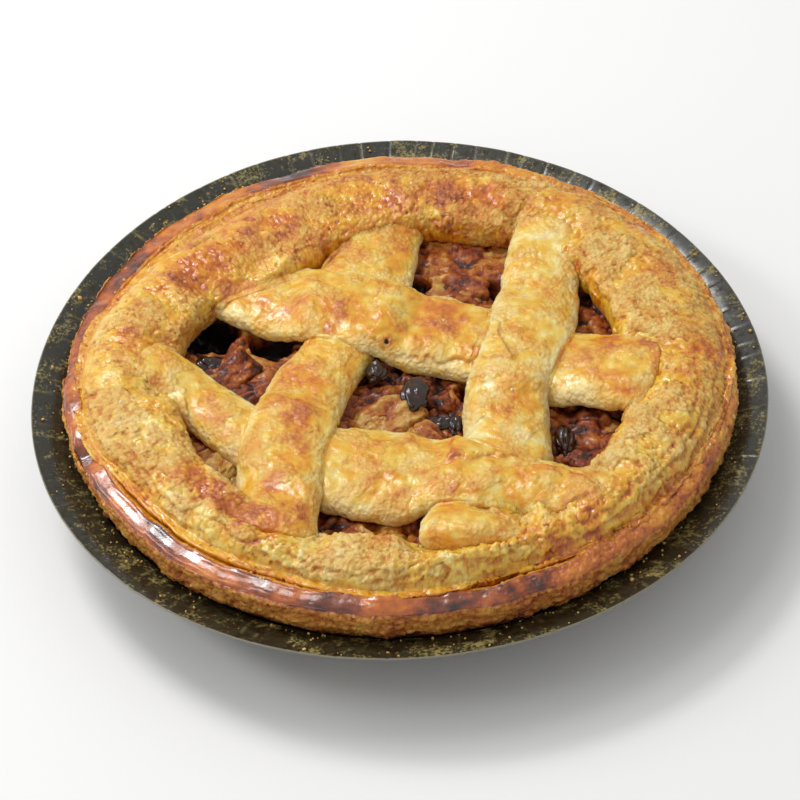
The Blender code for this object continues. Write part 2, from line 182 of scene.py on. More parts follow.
# Browned places on the strips and the rim: x, y, how far they reach, and how brown
BROWNED_STRENGTH = 0.72
BROWNED = np.array([
    (-15.3, -3.6, 4.5, 0.30),
    (-17.8, -13.3, 4.0, 0.34),
    (-16.3, -23.1, 3.5, 0.18),
    (-24.4, -32.7, 4.5, 0.30),
    (6.2, 10.3, 6.5, 0.20),
    (-8.8, 14.6, 4.0, 0.10),
    (-28.6, 20.6, 4.0, 0.20),
    (19.4, -10.6, 4.5, 0.26),
    (21.9, 5.0, 4.0, 0.10),
    (-0.1, -21.6, 3.5, 0.26),
    (6.7, -25.6, 4.5, 0.30),
    (7.9, -35.5, 4.5, 0.26),
    (3.6, -37.6, 3.5, 0.20),
    (37.6, 1.6, 3.0, 0.30),
    (42.0, -0.6, 3.0, 0.30),
    (21.7, -31.7, 4.0, 0.14),
    (-33.7, -9.9, 5.0, 0.16),
    (-47.9, 6.6, 4.0, 0.40),
    (-46.0, 12.0, 3.0, 0.20),
    (-37.5, 21.6, 5.0, 0.42),
    (-32.7, 27.2, 3.5, 0.34),
    (-26.0, 34.5, 3.0, 0.20),
    (-19.4, 36.7, 3.5, 0.42),
    (9.3, 43.7, 4.5, 0.40),
    (1.8, 41.4, 4.0, 0.24),
    (17.0, 42.0, 3.5, 0.26),
    (48.0, 20.4, 5.0, 0.34),
    (46.2, 31.8, 4.0, 0.24),
    (53.1, -1.9, 6.0, 0.42),
    (50.7, -9.3, 4.0, 0.30),
    (46.9, -32.4, 3.5, 0.20),
    (42.1, -40.3, 4.5, 0.20),
    (25.7, -47.7, 5.0, 0.34),
    (31.0, -42.4, 4.0, 0.34),
    (-35.4, -28.6, 3.5, 0.76),
    (-32.6, -32.0, 3.5, 0.86),
    (-29.6, -35.2, 3.5, 0.90),
    (-26.2, -38.2, 3.5, 0.90),
    (-22.6, -40.8, 3.5, 0.86),
    (-12.4, -44.2, 3.4, 0.26),
    (-3.3, -46.3, 3.6, 0.34),
    (4.2, -47.4, 3.6, 0.34),
    (19.3, -43.7, 4.5, 0.30),
])

# Apple pieces that show between the strips: middle, size, turns in degrees, tone
APPLE_PIECES = [
    ((-1.5, -8.8, 14.6), (11.5, 8.5, 5.0), (14, -8, 20), 0.25),
    ((6.2, -13.6, 14.2), (8.5, 6.5, 5.0), (-10, 12, -35), 0.55),
    ((7.6, -4.2, 14.4), (7.0, 6.0, 4.6), (8, 20, 60), 0.75),
    ((-28.6, 4.6, 14.0), (9.5, 7.0, 5.4), (20, -16, 50), 0.65),
    ((-33.0, 3.4, 13.8), (7.5, 5.5, 4.6), (-12, 10, 10), 0.8),
    ((12.6, 23.0, 14.0), (9.0, 8.0, 5.4), (18, 12, -20), 0.55),
    ((16.2, 20.6, 13.2), (5.0, 5.0, 4.2), (-15, 20, 25), 0.45),
    ((37.0, 11.0, 13.6), (5.0, 9.0, 4.4), (6, 14, 12), 0.6),
    ((32.2, -20.4, 14.2), (8.0, 7.5, 4.6), (-14, 10, 40), 0.68),
    ((36.6, -17.0, 13.8), (5.5, 5.0, 4.4), (15, -20, 5), 0.72),
    ((-5.6, -38.6, 13.6), (9.0, 4.0, 4.0), (0, 6, 4), 0.4),
    ((2.0, -40.0, 13.5), (5.0, 4.0, 3.6), (8, -10, 30), 0.45),
    ((-31.6, -20.4, 15.0), (8.0, 5.4, 4.0), (5, 5, 60), 0.12),
]

# Gaps in the filling, sunk deep and painted darker as shade: x, y, reach, depth
HOLLOWS = [
    (-34.5, 16.0, 7.0, 8.0),
    (-22.5, 11.5, 4.6, 6.0),
    (5.0, 25.4, 2.6, 4.0),
    (18.0, 22.6, 3.4, 5.0),
    (12.6, -3.4, 2.4, 4.0),
    (34.4, 21.0, 3.0, 2.5),
]

# Fruit lighter or darker than the rest: x, y, reach, tone from tan to black
FRUIT_TONES = [
    (-2.0, -8.5, 7.0, 0.12),
    (8.5, -5.0, 5.0, 0.38),
    (-4.5, 1.0, 4.0, 0.70),
    (9.5, -12.0, 4.0, 0.72),
    (-29.0, 5.0, 9.0, 0.46),
    (12.6, 23.6, 8.0, 0.34),
    (34.5, -15.5, 7.0, 0.70),
    (28.5, -18.0, 4.0, 0.75),
    (36.5, -12.5, 3.0, 0.30),
    (37.5, 10.0, 8.0, 0.55),
    (-3.0, -38.5, 9.0, 0.26),
    (-31.5, -20.0, 6.0, 0.14),
]

# Raisins: middle and half size
RAISINS = [
    ((-3.8, 0.6, 17.6), (1.9, 2.2, 1.9)),
    ((3.1, -4.7, 16.9), (2.6, 4.0, 2.4)),
    ((7.0, -11.2, 15.8), (3.6, 1.8, 1.6)),
    ((9.6, -11.4, 15.6), (1.5, 3.0, 1.5)),
    ((28.4, -16.8, 16.0), (1.7, 3.4, 2.2)),
    ((-33.4, 7.0, 14.9), (2.9, 2.3, 2.0)),
    ((9.8, 18.8, 14.4), (1.8, 2.4, 1.7)),
    ((36.4, 5.6, 14.6), (2.0, 2.8, 1.9)),
    ((-10.6, -37.8, 13.9), (2.6, 2.0, 1.6)),
]

# The camera: where it aims, how far off it stands, its height in degrees, tilt and lens
AIM = Vector((0.27, -4.71, 16.0))
CAMERA_DISTANCE = 600.0
CAMERA_HEIGHT = math.radians(44.88)
CAMERA_TILT = math.radians(-2.376)
LENS = 153.55


# Noise and blending, all on whole arrays

NOISE_RANDOM = np.random.RandomState(SEED)
SHUFFLED = NOISE_RANDOM.permutation(256)
SLOPES = NOISE_RANDOM.normal(size=(256, 3))
SLOPES /= np.linalg.norm(SLOPES, axis=1, keepdims=True)


def smooth_step(value, start, end):
    """0 below start, 1 above end, and a soft curve between them."""
    share = np.clip((value - start) / (end - start), 0.0, 1.0)
    return share * share * (3.0 - 2.0 * share)


def mixed(a, b, share):
    return a + (b - a) * share


def shuffled_at(cell):
    """A fixed random number from 0 to 255 for each whole-number cell."""
    inner = SHUFFLED[cell[..., 2] & 255]
    middle = SHUFFLED[(cell[..., 1] + inner) & 255]
    return SHUFFLED[(cell[..., 0] + middle) & 255]


def lumps(points, size, seed=0):
    """Gradient noise from about -1 to 1: a random slope at each cell corner, blended."""
    place = points / size + 19.7 * seed + 0.31
    cell = np.floor(place).astype(np.int64)
    part = place - cell
    ease = part ** 3 * (part * (part * 6.0 - 15.0) + 10.0)
    total = np.zeros(points.shape[:-1])
    for corner in np.ndindex(2, 2, 2):
        step = np.array(corner)
        slope = SLOPES[shuffled_at(cell + step)]
        height = ((part - step) * slope).sum(-1)
        weight = np.prod(np.where(step == 1, ease, 1.0 - ease), axis=-1)
        total += weight * height
    return total * 1.6


def fractal(points, size, octaves=3, seed=0):
    """Layers of lumps, each half as large and half as high as the one before."""
    total = np.zeros(points.shape[:-1])
    for octave in range(octaves):
        total += lumps(points, size / 2 ** octave, seed + octave) / 2 ** octave
    return total


def grains(points, size, seed=0):
    """Distance to the nearest of one scattered point a cell, and a number for that point."""
    place = points / size + 7.3 * seed
    cell = np.floor(place).astype(np.int64)
    nearest = np.full(points.shape[:-1], 9.0)
    number = np.zeros(points.shape[:-1])
    for shift in np.ndindex(3, 3, 3):
        there = cell + np.array(shift) - 1
        key = shuffled_at(there)
        spot = there + 0.5 + 0.45 * SLOPES[key]
        apart = np.linalg.norm(place - spot, axis=-1)
        closer = apart < nearest
        nearest = np.where(closer, apart, nearest)
        number = np.where(closer, key / 255.0, number)
    return nearest, number


def leaned(points):
    """The points after the baked top has sunk towards the back, above the case's wall."""
    share = np.maximum(0.0, (points[..., 2] - LEAN_FROM) / (LEAN_FULL - LEAN_FROM))
    moved = points.copy()
    moved[..., 2] -= LEAN * points[..., 1] * share
    return moved


def apart_degrees(angle, degrees):
    """Signed degrees from a direction to each angle, from -180 to 180."""
    return (np.degrees(angle) - degrees + 180.0) % 360.0 - 180.0


def near_angle(angle, degrees, spread):
    """1 in one direction, falling to 0 over a spread of degrees on each side of it."""
    return np.exp(-(apart_degrees(angle, degrees) / spread) ** 2)


def apart_from(points, x, y):
    """Distance of points from a place, seen from above."""
    return np.hypot(points[..., 0] - x, points[..., 1] - y)


def patch(points, x, y, full, end):
    """1 within the full distance of a place seen from above, falling to 0 at the end distance."""
    return 1.0 - smooth_step(apart_from(points, x, y), full, end)


def by_direction(turn, rows):
    """The value for each direction, between rows of degrees and value."""
    return np.interp(apart_degrees(turn, 0.0), rows[:, 0], rows[:, 1])


def rim_edges(angle):
    """The rolled rim's inner and outer radius in a direction, from the outline's rows."""
    inner = np.zeros_like(angle)
    outer = np.zeros_like(angle)
    total = np.zeros_like(angle)
    for degrees, near, far in RIM_OUTLINE:
        weight = near_angle(angle, degrees, 11.0)
        inner += weight * near
        outer += weight * far
        total += weight
    return inner / total, outer / total


def curve_through(rows, share):
    """Points at shares of the way along a smooth curve through all rows."""
    rows = np.asarray(rows, float)
    place = np.asarray(share) * (len(rows) - 1)
    first = np.minimum(np.floor(place).astype(int), len(rows) - 2)
    t = (place - first)[..., None]
    p0, p1, p2, p3 = (rows[np.clip(first + k, 0, len(rows) - 1)] for k in (-1, 0, 1, 2))
    bend = 2 * p0 - 5 * p1 + 4 * p2 - p3
    cubic = 3 * p1 - p0 - 3 * p2 + p3
    return 0.5 * (2 * p1 + (p2 - p0) * t + bend * t * t + cubic * t ** 3)


def strip_line(name, share):
    """A strip at shares of its length: x, y, width, how full it is, and how far it climbs."""
    line = curve_through(STRIPS[name], share)
    end = np.clip(np.maximum(0.05 - share, share - 0.95) / 0.05, 0.0, 1.0)
    full = np.sqrt(np.maximum(1.0 - end ** 2.5, 0.02))
    first, last = CLIMBS[name]
    climb = first * (1.0 - smooth_step(share, 0.03, 0.17)) + last * smooth_step(share, 0.83, 0.95)
    return np.column_stack([line[:, 0], line[:, 1], line[:, 2] * full, full, climb])


PATHS = {name: strip_line(name, np.linspace(0.0, 1.0, 110)) for name in STRIPS}


def strip_near(name, points):
    """How far points lie outside a strip seen from above, and its width, fullness and climb."""
    beyond = np.full(points.shape[:-1], 99.0)
    found = [np.ones(points.shape[:-1]) for _ in range(3)]
    for x, y, *values in PATHS[name]:
        apart = apart_from(points, x, y) - values[0] / 2
        closer = apart < beyond
        beyond = np.where(closer, apart, beyond)
        found = [np.where(closer, value, old) for value, old in zip(values, found)]
    return beyond, *found


def strip_rise(name, points):
    """How much higher than its lowest a strip lies, where it passes over another."""
    beyond = strip_near(PASSES_OVER[name], points)[0]
    return STRIP_RISE * (1.0 - smooth_step(beyond, *STRIP_RAMP))


def strip_top(name, points):
    """Height of a strip's upper side at places seen from above. Outside it, far too low."""
    beyond, width, full, climb = strip_near(name, points)
    share = np.clip(1.0 + 2.0 * beyond / width, 0.0, 1.0)
    crown = (1.0 - share ** STRIP_ROUNDNESS) ** (1.0 / STRIP_ROUNDNESS)
    top = STRIP_LOW + strip_rise(name, points) + climb + (STRIP_BELLY + STRIP_CROWN * crown) * full
    return np.where(beyond < 0.0, top, 0.0)


# The rim's upper side: share of the way from the inner to the outer edge, and height
RIM_PROFILE = np.array([
    (0.0, 19.3),
    (1.5, 20.6),
    (5.0, 21.8),
    (12.0, 22.6),
    (26.0, 23.2),
    (44.0, RIM_TOP),
    (62.0, RIM_TOP),
    (78.0, 22.8),
    (90.0, 21.6),
    (97.0, 20.0),
    (100.0, 18.9),
])


def rim_top(points):
    """Height of the rolled rim's upper side at places seen from above."""
    angle = np.arctan2(points[..., 1], points[..., 0])
    radius = np.hypot(points[..., 0], points[..., 1])
    inner, outer = rim_edges(angle)
    share = 100.0 * (radius - inner) / (outer - inner)
    fine = curve_through(RIM_PROFILE, np.linspace(0.0, 1.0, 200))
    roll = np.interp(share, fine[:, 0], fine[:, 1])
    slope = RIM_JOIN_HEIGHT + (RIM_TOP - RIM_JOIN_HEIGHT) * smooth_step(radius - inner, -2.0, 9.5)
    joined = np.zeros_like(radius)
    for x, y, reach in JOINS:
        joined = np.maximum(joined, patch(points, x, y, 0.6 * reach, reach))
    height = mixed(roll, np.minimum(roll, slope), joined)
    return np.where(share > -8.0, height, 0.0)


def melted(height, others):
    """Heights raised beside the other surfaces, so that the dough flows together there."""
    lift = np.zeros_like(height)
    for other in others:
        near = np.clip(1.0 - np.abs(height - other) / MELT, 0.0, 1.0)
        lift = np.maximum(lift, 0.25 * MELT * near ** 2)
    return height + lift


def sheet_layer(points):
    """Height added by the thin upper sheets, with a ragged edge."""
    ragged = 0.9 * fractal(points, 2.4, 3, 33) + 0.6 * lumps(points, 6.0, 35)
    total = np.zeros(points.shape[:-1])
    for corners in SHEETS:
        corners = np.array(corners)
        inside = np.full(points.shape[:-1], 99.0)
        for a, b in zip(corners, np.roll(corners, -1, 0)):
            way = (b - a) / np.linalg.norm(b - a)
            past = (points[..., 0] - a[0]) * way[1] - (points[..., 1] - a[1]) * way[0]
            inside = np.minimum(inside, past)
        fade = smooth_step(-inside, -9.0, -1.0)
        total = np.maximum(total, smooth_step(inside + ragged, 0.0, 0.35) * (0.35 + 0.65 * fade))
    return SHEET_DEPTH * total


def browned_places(points):
    """Soft patches at the listed places, with ragged edges."""
    ragged = points + 1.6 * np.stack([
        fractal(points, 3.0, 3, 31), fractal(points, 3.0, 3, 37), 0 * points[..., 0]
    ], -1)
    total = np.zeros(points.shape[:-1])
    for x, y, reach, depth in BROWNED:
        near = patch(ragged, x, y, 0.2 * reach, 1.35 * reach)
        total = np.maximum(total, BROWNED_STRENGTH * depth * near)
    return total


# Meshes from grids

def grid_normals(points, close_rows, close_columns):
    """Unit normals of a grid from its neighbours' differences, pointing outwards."""
    along = np.roll(points, -1, 0) - np.roll(points, 1, 0)
    across = np.roll(points, -1, 1) - np.roll(points, 1, 1)
    if not close_rows:
        along[0], along[-1] = points[1] - points[0], points[-1] - points[-2]
    if not close_columns:
        across[:, 0] = points[:, 1] - points[:, 0]
        across[:, -1] = points[:, -1] - points[:, -2]
    normal = np.cross(along, across)
    volume = ((points - points.mean((0, 1))) * normal).sum()
    length = np.maximum(np.linalg.norm(normal, axis=-1, keepdims=True), 1e-9)
    return normal / length * (1.0 if volume > 0 else -1.0)


def blurred(field, steps, close_rows=True, close_columns=True):
    """Each value replaced by the mean of the values up to a few steps away, both ways."""
    for axis, closed in ((0, close_rows), (1, close_columns)):
        pad = [(0, 0)] * field.ndim
        pad[axis] = (steps, steps)
        wide = np.pad(field, pad, mode="wrap" if closed else "edge")
        total = np.cumsum(wide, axis=axis)
        total = np.insert(total, 0, 0.0, axis=axis)
        size = field.shape[axis]
        high = np.take(total, np.arange(size) + 2 * steps + 1, axis=axis)
        low = np.take(total, np.arange(size), axis=axis)
        field = (high - low) / (2 * steps + 1)
    return field


def directions(count):
    """Angles evenly round the axis, as a column, and the unit vectors that point that way."""
    turn = np.linspace(0.0, 2 * np.pi, count, endpoint=False)[:, None]
    return turn, np.stack([np.cos(turn), np.sin(turn), 0 * turn], -1)


def turned_profile(profile, count):
    """Radius and height of every point of a profile that is turned round the axis."""
    shape = (count, len(profile))
    return tuple(np.broadcast_to(profile[None, :, k], shape).copy() for k in (0, 1))


def fan(point, ring, flip=False):
    """Triangles that close a ring of vertices to one point."""
    first, second = (np.roll(ring, -1), ring) if flip else (ring, np.roll(ring, -1))
    return np.stack([np.full(len(ring), point), first, second], -1)


def grid_faces(rows, columns, close_rows, close_columns):
    """Four corners for every face between neighbouring rows and columns."""
    index = np.arange(rows * columns).reshape(rows, columns)
    if close_rows:
        index = np.vstack([index, index[:1]])
    if close_columns:
        index = np.hstack([index, index[:, :1]])
    corners = (index[:-1, :-1], index[1:, :-1], index[1:, 1:], index[:-1, 1:])
    return np.stack(corners, -1).reshape(-1, 4)


def capped(points, ends, layers, value):
    """A grid turned round the axis, with two points that close its first and last column."""
    turns, count = points.shape[:2]
    size = turns * count
    column = np.arange(turns) * count
    flat = np.concatenate([points.reshape(-1, 3), ends])
    caps = np.concatenate([fan(size, column, flip=True), fan(size + 1, column + count - 1)])
    layers = {key: np.append(layer.ravel(), (value, value)) for key, layer in layers.items()}
    return flat, grid_faces(turns, count, True, False), caps, layers


def make_mesh(name, points, quads, triangles, finish, layers=None):
    """One object from vertex and face arrays, turned outwards, with its named layers."""
    triangles = np.zeros((0, 3), int) if triangles is None else triangles
    quads = np.zeros((0, 4), int) if quads is None else quads
    flat = np.concatenate([quads[:, :3], quads[:, [0, 2, 3]], triangles])
    a, b, c = points[flat[:, 0]], points[flat[:, 1]], points[flat[:, 2]]
    if (a * np.cross(b, c)).sum() < 0:
        quads = quads[:, ::-1]
        triangles = triangles[:, ::-1]
    mesh = bpy.data.meshes.new(name)
    mesh.vertices.add(len(points))
    mesh.vertices.foreach_set("co", (points * MM).astype(np.float32).ravel())
    corners = np.concatenate([quads.ravel(), triangles.ravel()]).astype(np.int32)
    mesh.loops.add(len(corners))
    mesh.loops.foreach_set("vertex_index", corners)
    quad_starts = np.arange(len(quads)) * 4
    triangle_starts = len(quads) * 4 + np.arange(len(triangles)) * 3
    starts = np.concatenate([quad_starts, triangle_starts]).astype(np.int32)
    mesh.polygons.add(len(starts))
    mesh.polygons.foreach_set("loop_start", starts)
    mesh.update(calc_edges=True)
    mesh.validate()
    mesh.shade_smooth()
    for layer, values in (layers or {}).items():
        made = mesh.attributes.new(layer, "FLOAT", "POINT")
        made.data.foreach_set("value", np.asarray(values, np.float32).ravel())
    mesh.materials.append(finish)
    piece = bpy.data.objects.new(name, mesh)
    bpy.context.scene.collection.objects.link(piece)
    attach(piece, BODY)
    return piece


# Materials

class Amount:
    """A number in a material's node tree. Sums and products of it add Math nodes."""

    def __init__(self, finish, socket):
        self.finish = finish
        self.socket = socket

    def _math(self, operation, *values, clamp=False):
        settings = {"operation": operation, "use_clamp": clamp}
        return self.finish.node("ShaderNodeMath", settings, dict(enumerate(values)))

    def __add__(self, other):
        return self._math("ADD", self, other)

    def __radd__(self, other):
        return self._math("ADD", other, self)

    def __sub__(self, other):
        return self._math("SUBTRACT", self, other)

    def __rsub__(self, other):
        return self._math("SUBTRACT", other, self)

    def __mul__(self, other):
        return self._math("MULTIPLY", self, other)

    def __rmul__(self, other):
        return self._math("MULTIPLY", other, self)

    def clamped(self):
        return self._math("ADD", self, 0.0, clamp=True)


class Finish:
    """A Principled material whose nodes all come from one method."""

    def __init__(self, name, **constants):
        self.material = bpy.data.materials.new(name)
        self.material.use_nodes = True
        self.tree = self.material.node_tree
        self.shader = self.tree.nodes["Principled BSDF"]
        for socket, value in constants.items():
            self.shader.inputs[socket.replace("_", " ")].default_value = value
        self.place = self.node("ShaderNodeTexCoord", {}, {}, "Object")

    def node(self, kind, settings, values, output=0):
        made = self.tree.nodes.new(kind)
        for name, value in settings.items():
            if name == "stops":
                self.fill_ramp(made.color_ramp, value)
            else:
                setattr(made, name, value)
        for name, value in values.items():
            self.feed(made.inputs[name], value)
        return Amount(self, made.outputs[output])

    def fill_ramp(self, ramp, stops):
        for place, colour in stops[1:-1]:
            ramp.elements.new(place).color = (*colour, 1.0)
        for element, (place, colour) in ((ramp.elements[0], stops[0]), (ramp.elements[-1], stops[-1])):
            element.position = place
            element.color = (*colour, 1.0)

    def feed(self, socket, value):
        if isinstance(value, Amount):
            self.tree.links.new(value.socket, socket)
        elif isinstance(value, tuple) and len(value) == 3 and socket.type == "RGBA":
            socket.default_value = (*value, 1.0)
        else:
            socket.default_value = value

    def layer(self, name):
        return self.node("ShaderNodeAttribute", {"attribute_name": name}, {}, "Fac")

    def noise(self, size, detail=3.0, roughness=0.55, shift=0.0):
        """Noise from 0 to 1 whose lumps are about size millimetres across."""
        place = self.place
        if shift:
            place = self.node("ShaderNodeMapping", {}, {"Vector": place, "Location": (shift,) * 3})
        values = {"Vector": place, "Scale": 1.0 / (size * MM), "Detail": detail, "Roughness": roughness}
        return self.node("ShaderNodeTexNoise", {}, values, "Fac")

    def cells(self, size):
        """Distance to the nearest scattered point, points about size millimetres apart."""
        values = {"Vector": self.place, "Scale": 1.0 / (size * MM)}
        return self.node("ShaderNodeTexVoronoi", {"feature": "F1"}, values, "Distance")

    def ramp(self, amount, stops):
        return self.node("ShaderNodeValToRGB", {"stops": stops}, {"Fac": amount}, "Color")

    def mix(self, a, b, factor, blend="MIX"):
        settings = {"data_type": "RGBA", "blend_type": blend}
        return self.node("ShaderNodeMix", settings, {0: factor, 6: a, 7: b}, 2)

    def range(self, amount, low, high, start=0.0, end=1.0):
        values = {0: amount, 1: low, 2: high, 3: start, 4: end}
        return self.node("ShaderNodeMapRange", {"clamp": True}, values)

    def bump(self, height, depth, under=None):
        """A normal for a height field that is depth millimetres high where the height is 1."""
        values = {"Height": height, "Distance": depth * MM, "Strength": 1.0}
        if under is not None:
            values["Normal"] = under
        return self.node("ShaderNodeBump", {}, values)

    def set(self, **inputs):
        for name, value in inputs.items():
            self.feed(self.shader.inputs[name.replace("_", " ")], value)


# Colours of baked dough from pale to burnt, where egg wash covers it and where it is bare
GLAZED_COLOURS = [
    (0.00, (0.88, 0.74, 0.34)),
    (0.14, (0.86, 0.64, 0.150)),
    (0.30, (0.83, 0.50, 0.045)),
    (0.46, (0.79, 0.37, 0.012)),
    (0.60, (0.71, 0.235, 0.009)),
    (0.72, (0.54, 0.130, 0.009)),
    (0.82, (0.28, 0.055, 0.009)),
    (0.92, (0.085, 0.020, 0.010)),
    (1.00, (0.025, 0.010, 0.009)),
]
CRUMB_COLOURS = [
    (0.00, (0.88, 0.68, 0.29)),
    (0.20, (0.83, 0.56, 0.150)),
    (0.38, (0.76, 0.405, 0.060)),
    (0.54, (0.67, 0.255, 0.022)),
    (0.68, (0.50, 0.130, 0.012)),
    (0.80, (0.25, 0.052, 0.010)),
    (0.92, (0.08, 0.020, 0.010)),
    (1.00, (0.025, 0.010, 0.009)),
]


def pastry_finish(name, mottling):
    """Baked dough: its layers say how brown, how much painted shade lies in a pit and how glossy each
    place is.

    Glossy places are golden, smooth and wet. The others are tan, rough and granular.
    """
    finish = Finish(
        name,
        Subsurface_Weight=0.32,
        Subsurface_Radius=(1.0, 0.45, 0.12),
        Subsurface_Scale=1.5 * MM,
        Coat_Roughness=0.08,
        Specular_IOR_Level=0.75,
    )
    gloss = finish.layer("gloss")
    dull = 1.0 - gloss
    speckle = finish.noise(0.6, 4.0, 0.65)
    mottle = finish.noise(2.6, 4.0, 0.6, shift=0.3)
    granules = finish.cells(0.85)
    brown = finish.layer("brown") + (0.10 + 0.20 * dull) * (speckle - 0.5) + mottling * (mottle - 0.5)
    brown = brown + 0.24 * dull * (granules - 0.45)
    tan = finish.ramp(brown, CRUMB_COLOURS)
    golden = finish.ramp(brown, GLAZED_COLOURS)
    colour = finish.mix(tan, golden, finish.range(gloss, 0.30, 0.75))
    # Pits are multiplied by orange-brown: painted shade in the recesses.
    pit = finish.range(finish.layer("pit"), 0.0, 1.0, 0.0, 0.75)
    colour = finish.mix(colour, (0.74, 0.35, 0.09), pit, "MULTIPLY")
    wet = gloss * finish.range(mottle, 0.38, 0.54, 0.55, 1.0)
    rough = 0.60 - 0.45 * wet + 0.10 * (speckle - 0.5)
    fine = finish.noise(0.36, 3.0, 0.6, shift=0.7)
    wrinkle = finish.noise(1.1, 4.0, 0.6, shift=0.9)
    relief = finish.bump(granules * dull, 0.42)
    relief = finish.bump(fine * (dull + 0.15), 0.24, relief)
    relief = finish.bump(wrinkle * (dull + 0.28), 0.27, relief)
    coat = wet * finish.range(gloss, 0.95, 1.0, 0.35, 1.0)
    finish.set(Base_Color=colour, Roughness=rough, Coat_Weight=coat, Normal=relief)
    return finish.material


def filling_finish(name, coat):
    """Stewed fruit in syrup: tan flesh to dark red-brown, wet."""
    finish = Finish(
        name,
        Subsurface_Weight=0.25,
        Subsurface_Radius=(1.0, 0.25, 0.06),
        Subsurface_Scale=1.2 * MM,
        Roughness=0.22,
        Specular_IOR_Level=0.38,
        Coat_Weight=coat,
        Coat_Roughness=0.10,
    )
    fibres = finish.noise(1.1, 5.0, 0.65)
    dark = finish.layer("dark") + 0.85 * (fibres - 0.5)
    colour = finish.ramp(dark, [
        (0.00, (0.66, 0.43, 0.12)),
        (0.25, (0.53, 0.23, 0.035)),
        (0.46, (0.43, 0.110, 0.010)),
        (0.66, (0.26, 0.042, 0.006)),
        (0.86, (0.070, 0.012, 0.005)),
        (1.00, (0.012, 0.005, 0.003)),
    ])
    relief = finish.bump(fibres, 0.5)
    relief = finish.bump(finish.noise(0.45), 0.2, relief)
    finish.set(Base_Color=colour, Normal=relief)
    return finish.material


def raisin_finish():
    """Shrivelled dark skin, glossy with syrup."""
    finish = Finish(
        "raisin_skin",
        Subsurface_Weight=0.1,
        Subsurface_Radius=(1.0, 0.2, 0.1),
        Subsurface_Scale=0.8 * MM,
        Specular_IOR_Level=0.9,
    )
    stain = finish.noise(1.6, 3.0)
    colour = finish.ramp(stain, [
        (0.3, (0.006, 0.003, 0.004)),
        (0.6, (0.030, 0.006, 0.004)),
        (0.8, (0.16, 0.030, 0.008)),
    ])
    relief = finish.bump(finish.noise(0.9, 3.0), 0.10)
    finish.set(Base_Color=colour, Roughness=finish.range(stain, 0.3, 0.7, 0.10, 0.24), Normal=relief)
    return finish.material


def board_finish():
    """Black coated board, mottled with gold crumb dust and grease, with painted sheen along the
    creases, pale at its cut edge.
    """
    finish = Finish("coated_board", Coat_Roughness=0.20, Coat_IOR=1.58, Specular_IOR_Level=0.22)
    dust = finish.noise(0.6, 5.0, 0.72)
    cloud = finish.noise(5.0, 4.0, 0.65, shift=0.2)
    grease = finish.noise(1.8, 5.0, 0.7, shift=0.5)
    amount = finish.range(dust + 1.1 * (cloud - 0.5), 0.56, 0.72)
    crease = finish.layer("crease")
    # Gold from the real dust, and along the creases a painted sheen in the same gold.
    gold_dust_and_sheen = (amount * 0.8 + 0.7 * crease * finish.range(grease, 0.42, 0.58)).clamped()
    base = finish.mix((0.005, 0.0055, 0.002), (0.026, 0.024, 0.008), finish.range(grease, 0.4, 0.62))
    colour = finish.mix(base, (0.36, 0.30, 0.10), gold_dust_and_sheen)
    colour = finish.mix(colour, (0.30, 0.27, 0.19), finish.layer("cut"))
    rough = 0.34 + 0.36 * amount + 0.30 * finish.range(grease, 0.42, 0.6)
    relief = finish.bump(grease, 0.06)
    relief = finish.bump(dust, 0.12, relief)
    finish.set(
        Base_Color=colour,
        Roughness=rough,
        Coat_Weight=finish.range(grease, 0.64, 0.50, 0.25, 1.0) * (1.0 - finish.layer("cut")),
        Normal=relief,
    )
    return finish.material


def crumb_finish(name, pale, golden):
    finish = Finish(
        name,
        Subsurface_Weight=0.25,
        Subsurface_Radius=(1.0, 0.5, 0.2),
        Subsurface_Scale=0.8 * MM,
        Specular_IOR_Level=0.4,
    )
    colour = finish.mix(pale, golden, finish.range(finish.noise(1.3), 0.35, 0.65))
    relief = finish.bump(finish.noise(0.25), 0.1)
    finish.set(Base_Color=colour, Roughness=0.6, Normal=relief)
    return finish.material


def sugar_finish():
    finish = Finish(
        "sugar",
        Base_Color=(0.97, 0.90, 0.74, 1.0),
        Roughness=0.18,
        Subsurface_Weight=0.6,
        Subsurface_Radius=(1.0, 0.85, 0.6),
        Subsurface_Scale=0.6 * MM,
        Coat_Weight=0.6,
        Coat_Roughness=0.05,
    )
    finish.set(Normal=finish.bump(finish.noise(0.3), 0.06))
    return finish.material


# Relief of baked dough

def layer_lines(points, spacing, seed):
    """Sawtooth steps from 0 to 1 that follow the ring: the torn edges of thin layers."""
    radius = np.hypot(points[..., 0], points[..., 1])
    place = (radius - 0.6 * points[..., 2]) / spacing
    place = place + 1.2 * fractal(points, 12.0, 2, seed) + 0.22 * fractal(points, 2.2, 2, seed + 3)
    part = place - np.floor(place)
    return part * (1.0 - smooth_step(part, 0.86, 1.0))


def terraces(value, steepness=0.35):
    """A soft height turned into flat sheets with steep torn edges."""
    whole = np.floor(value)
    return whole + smooth_step(value - whole, 1.0 - steepness, 1.0)


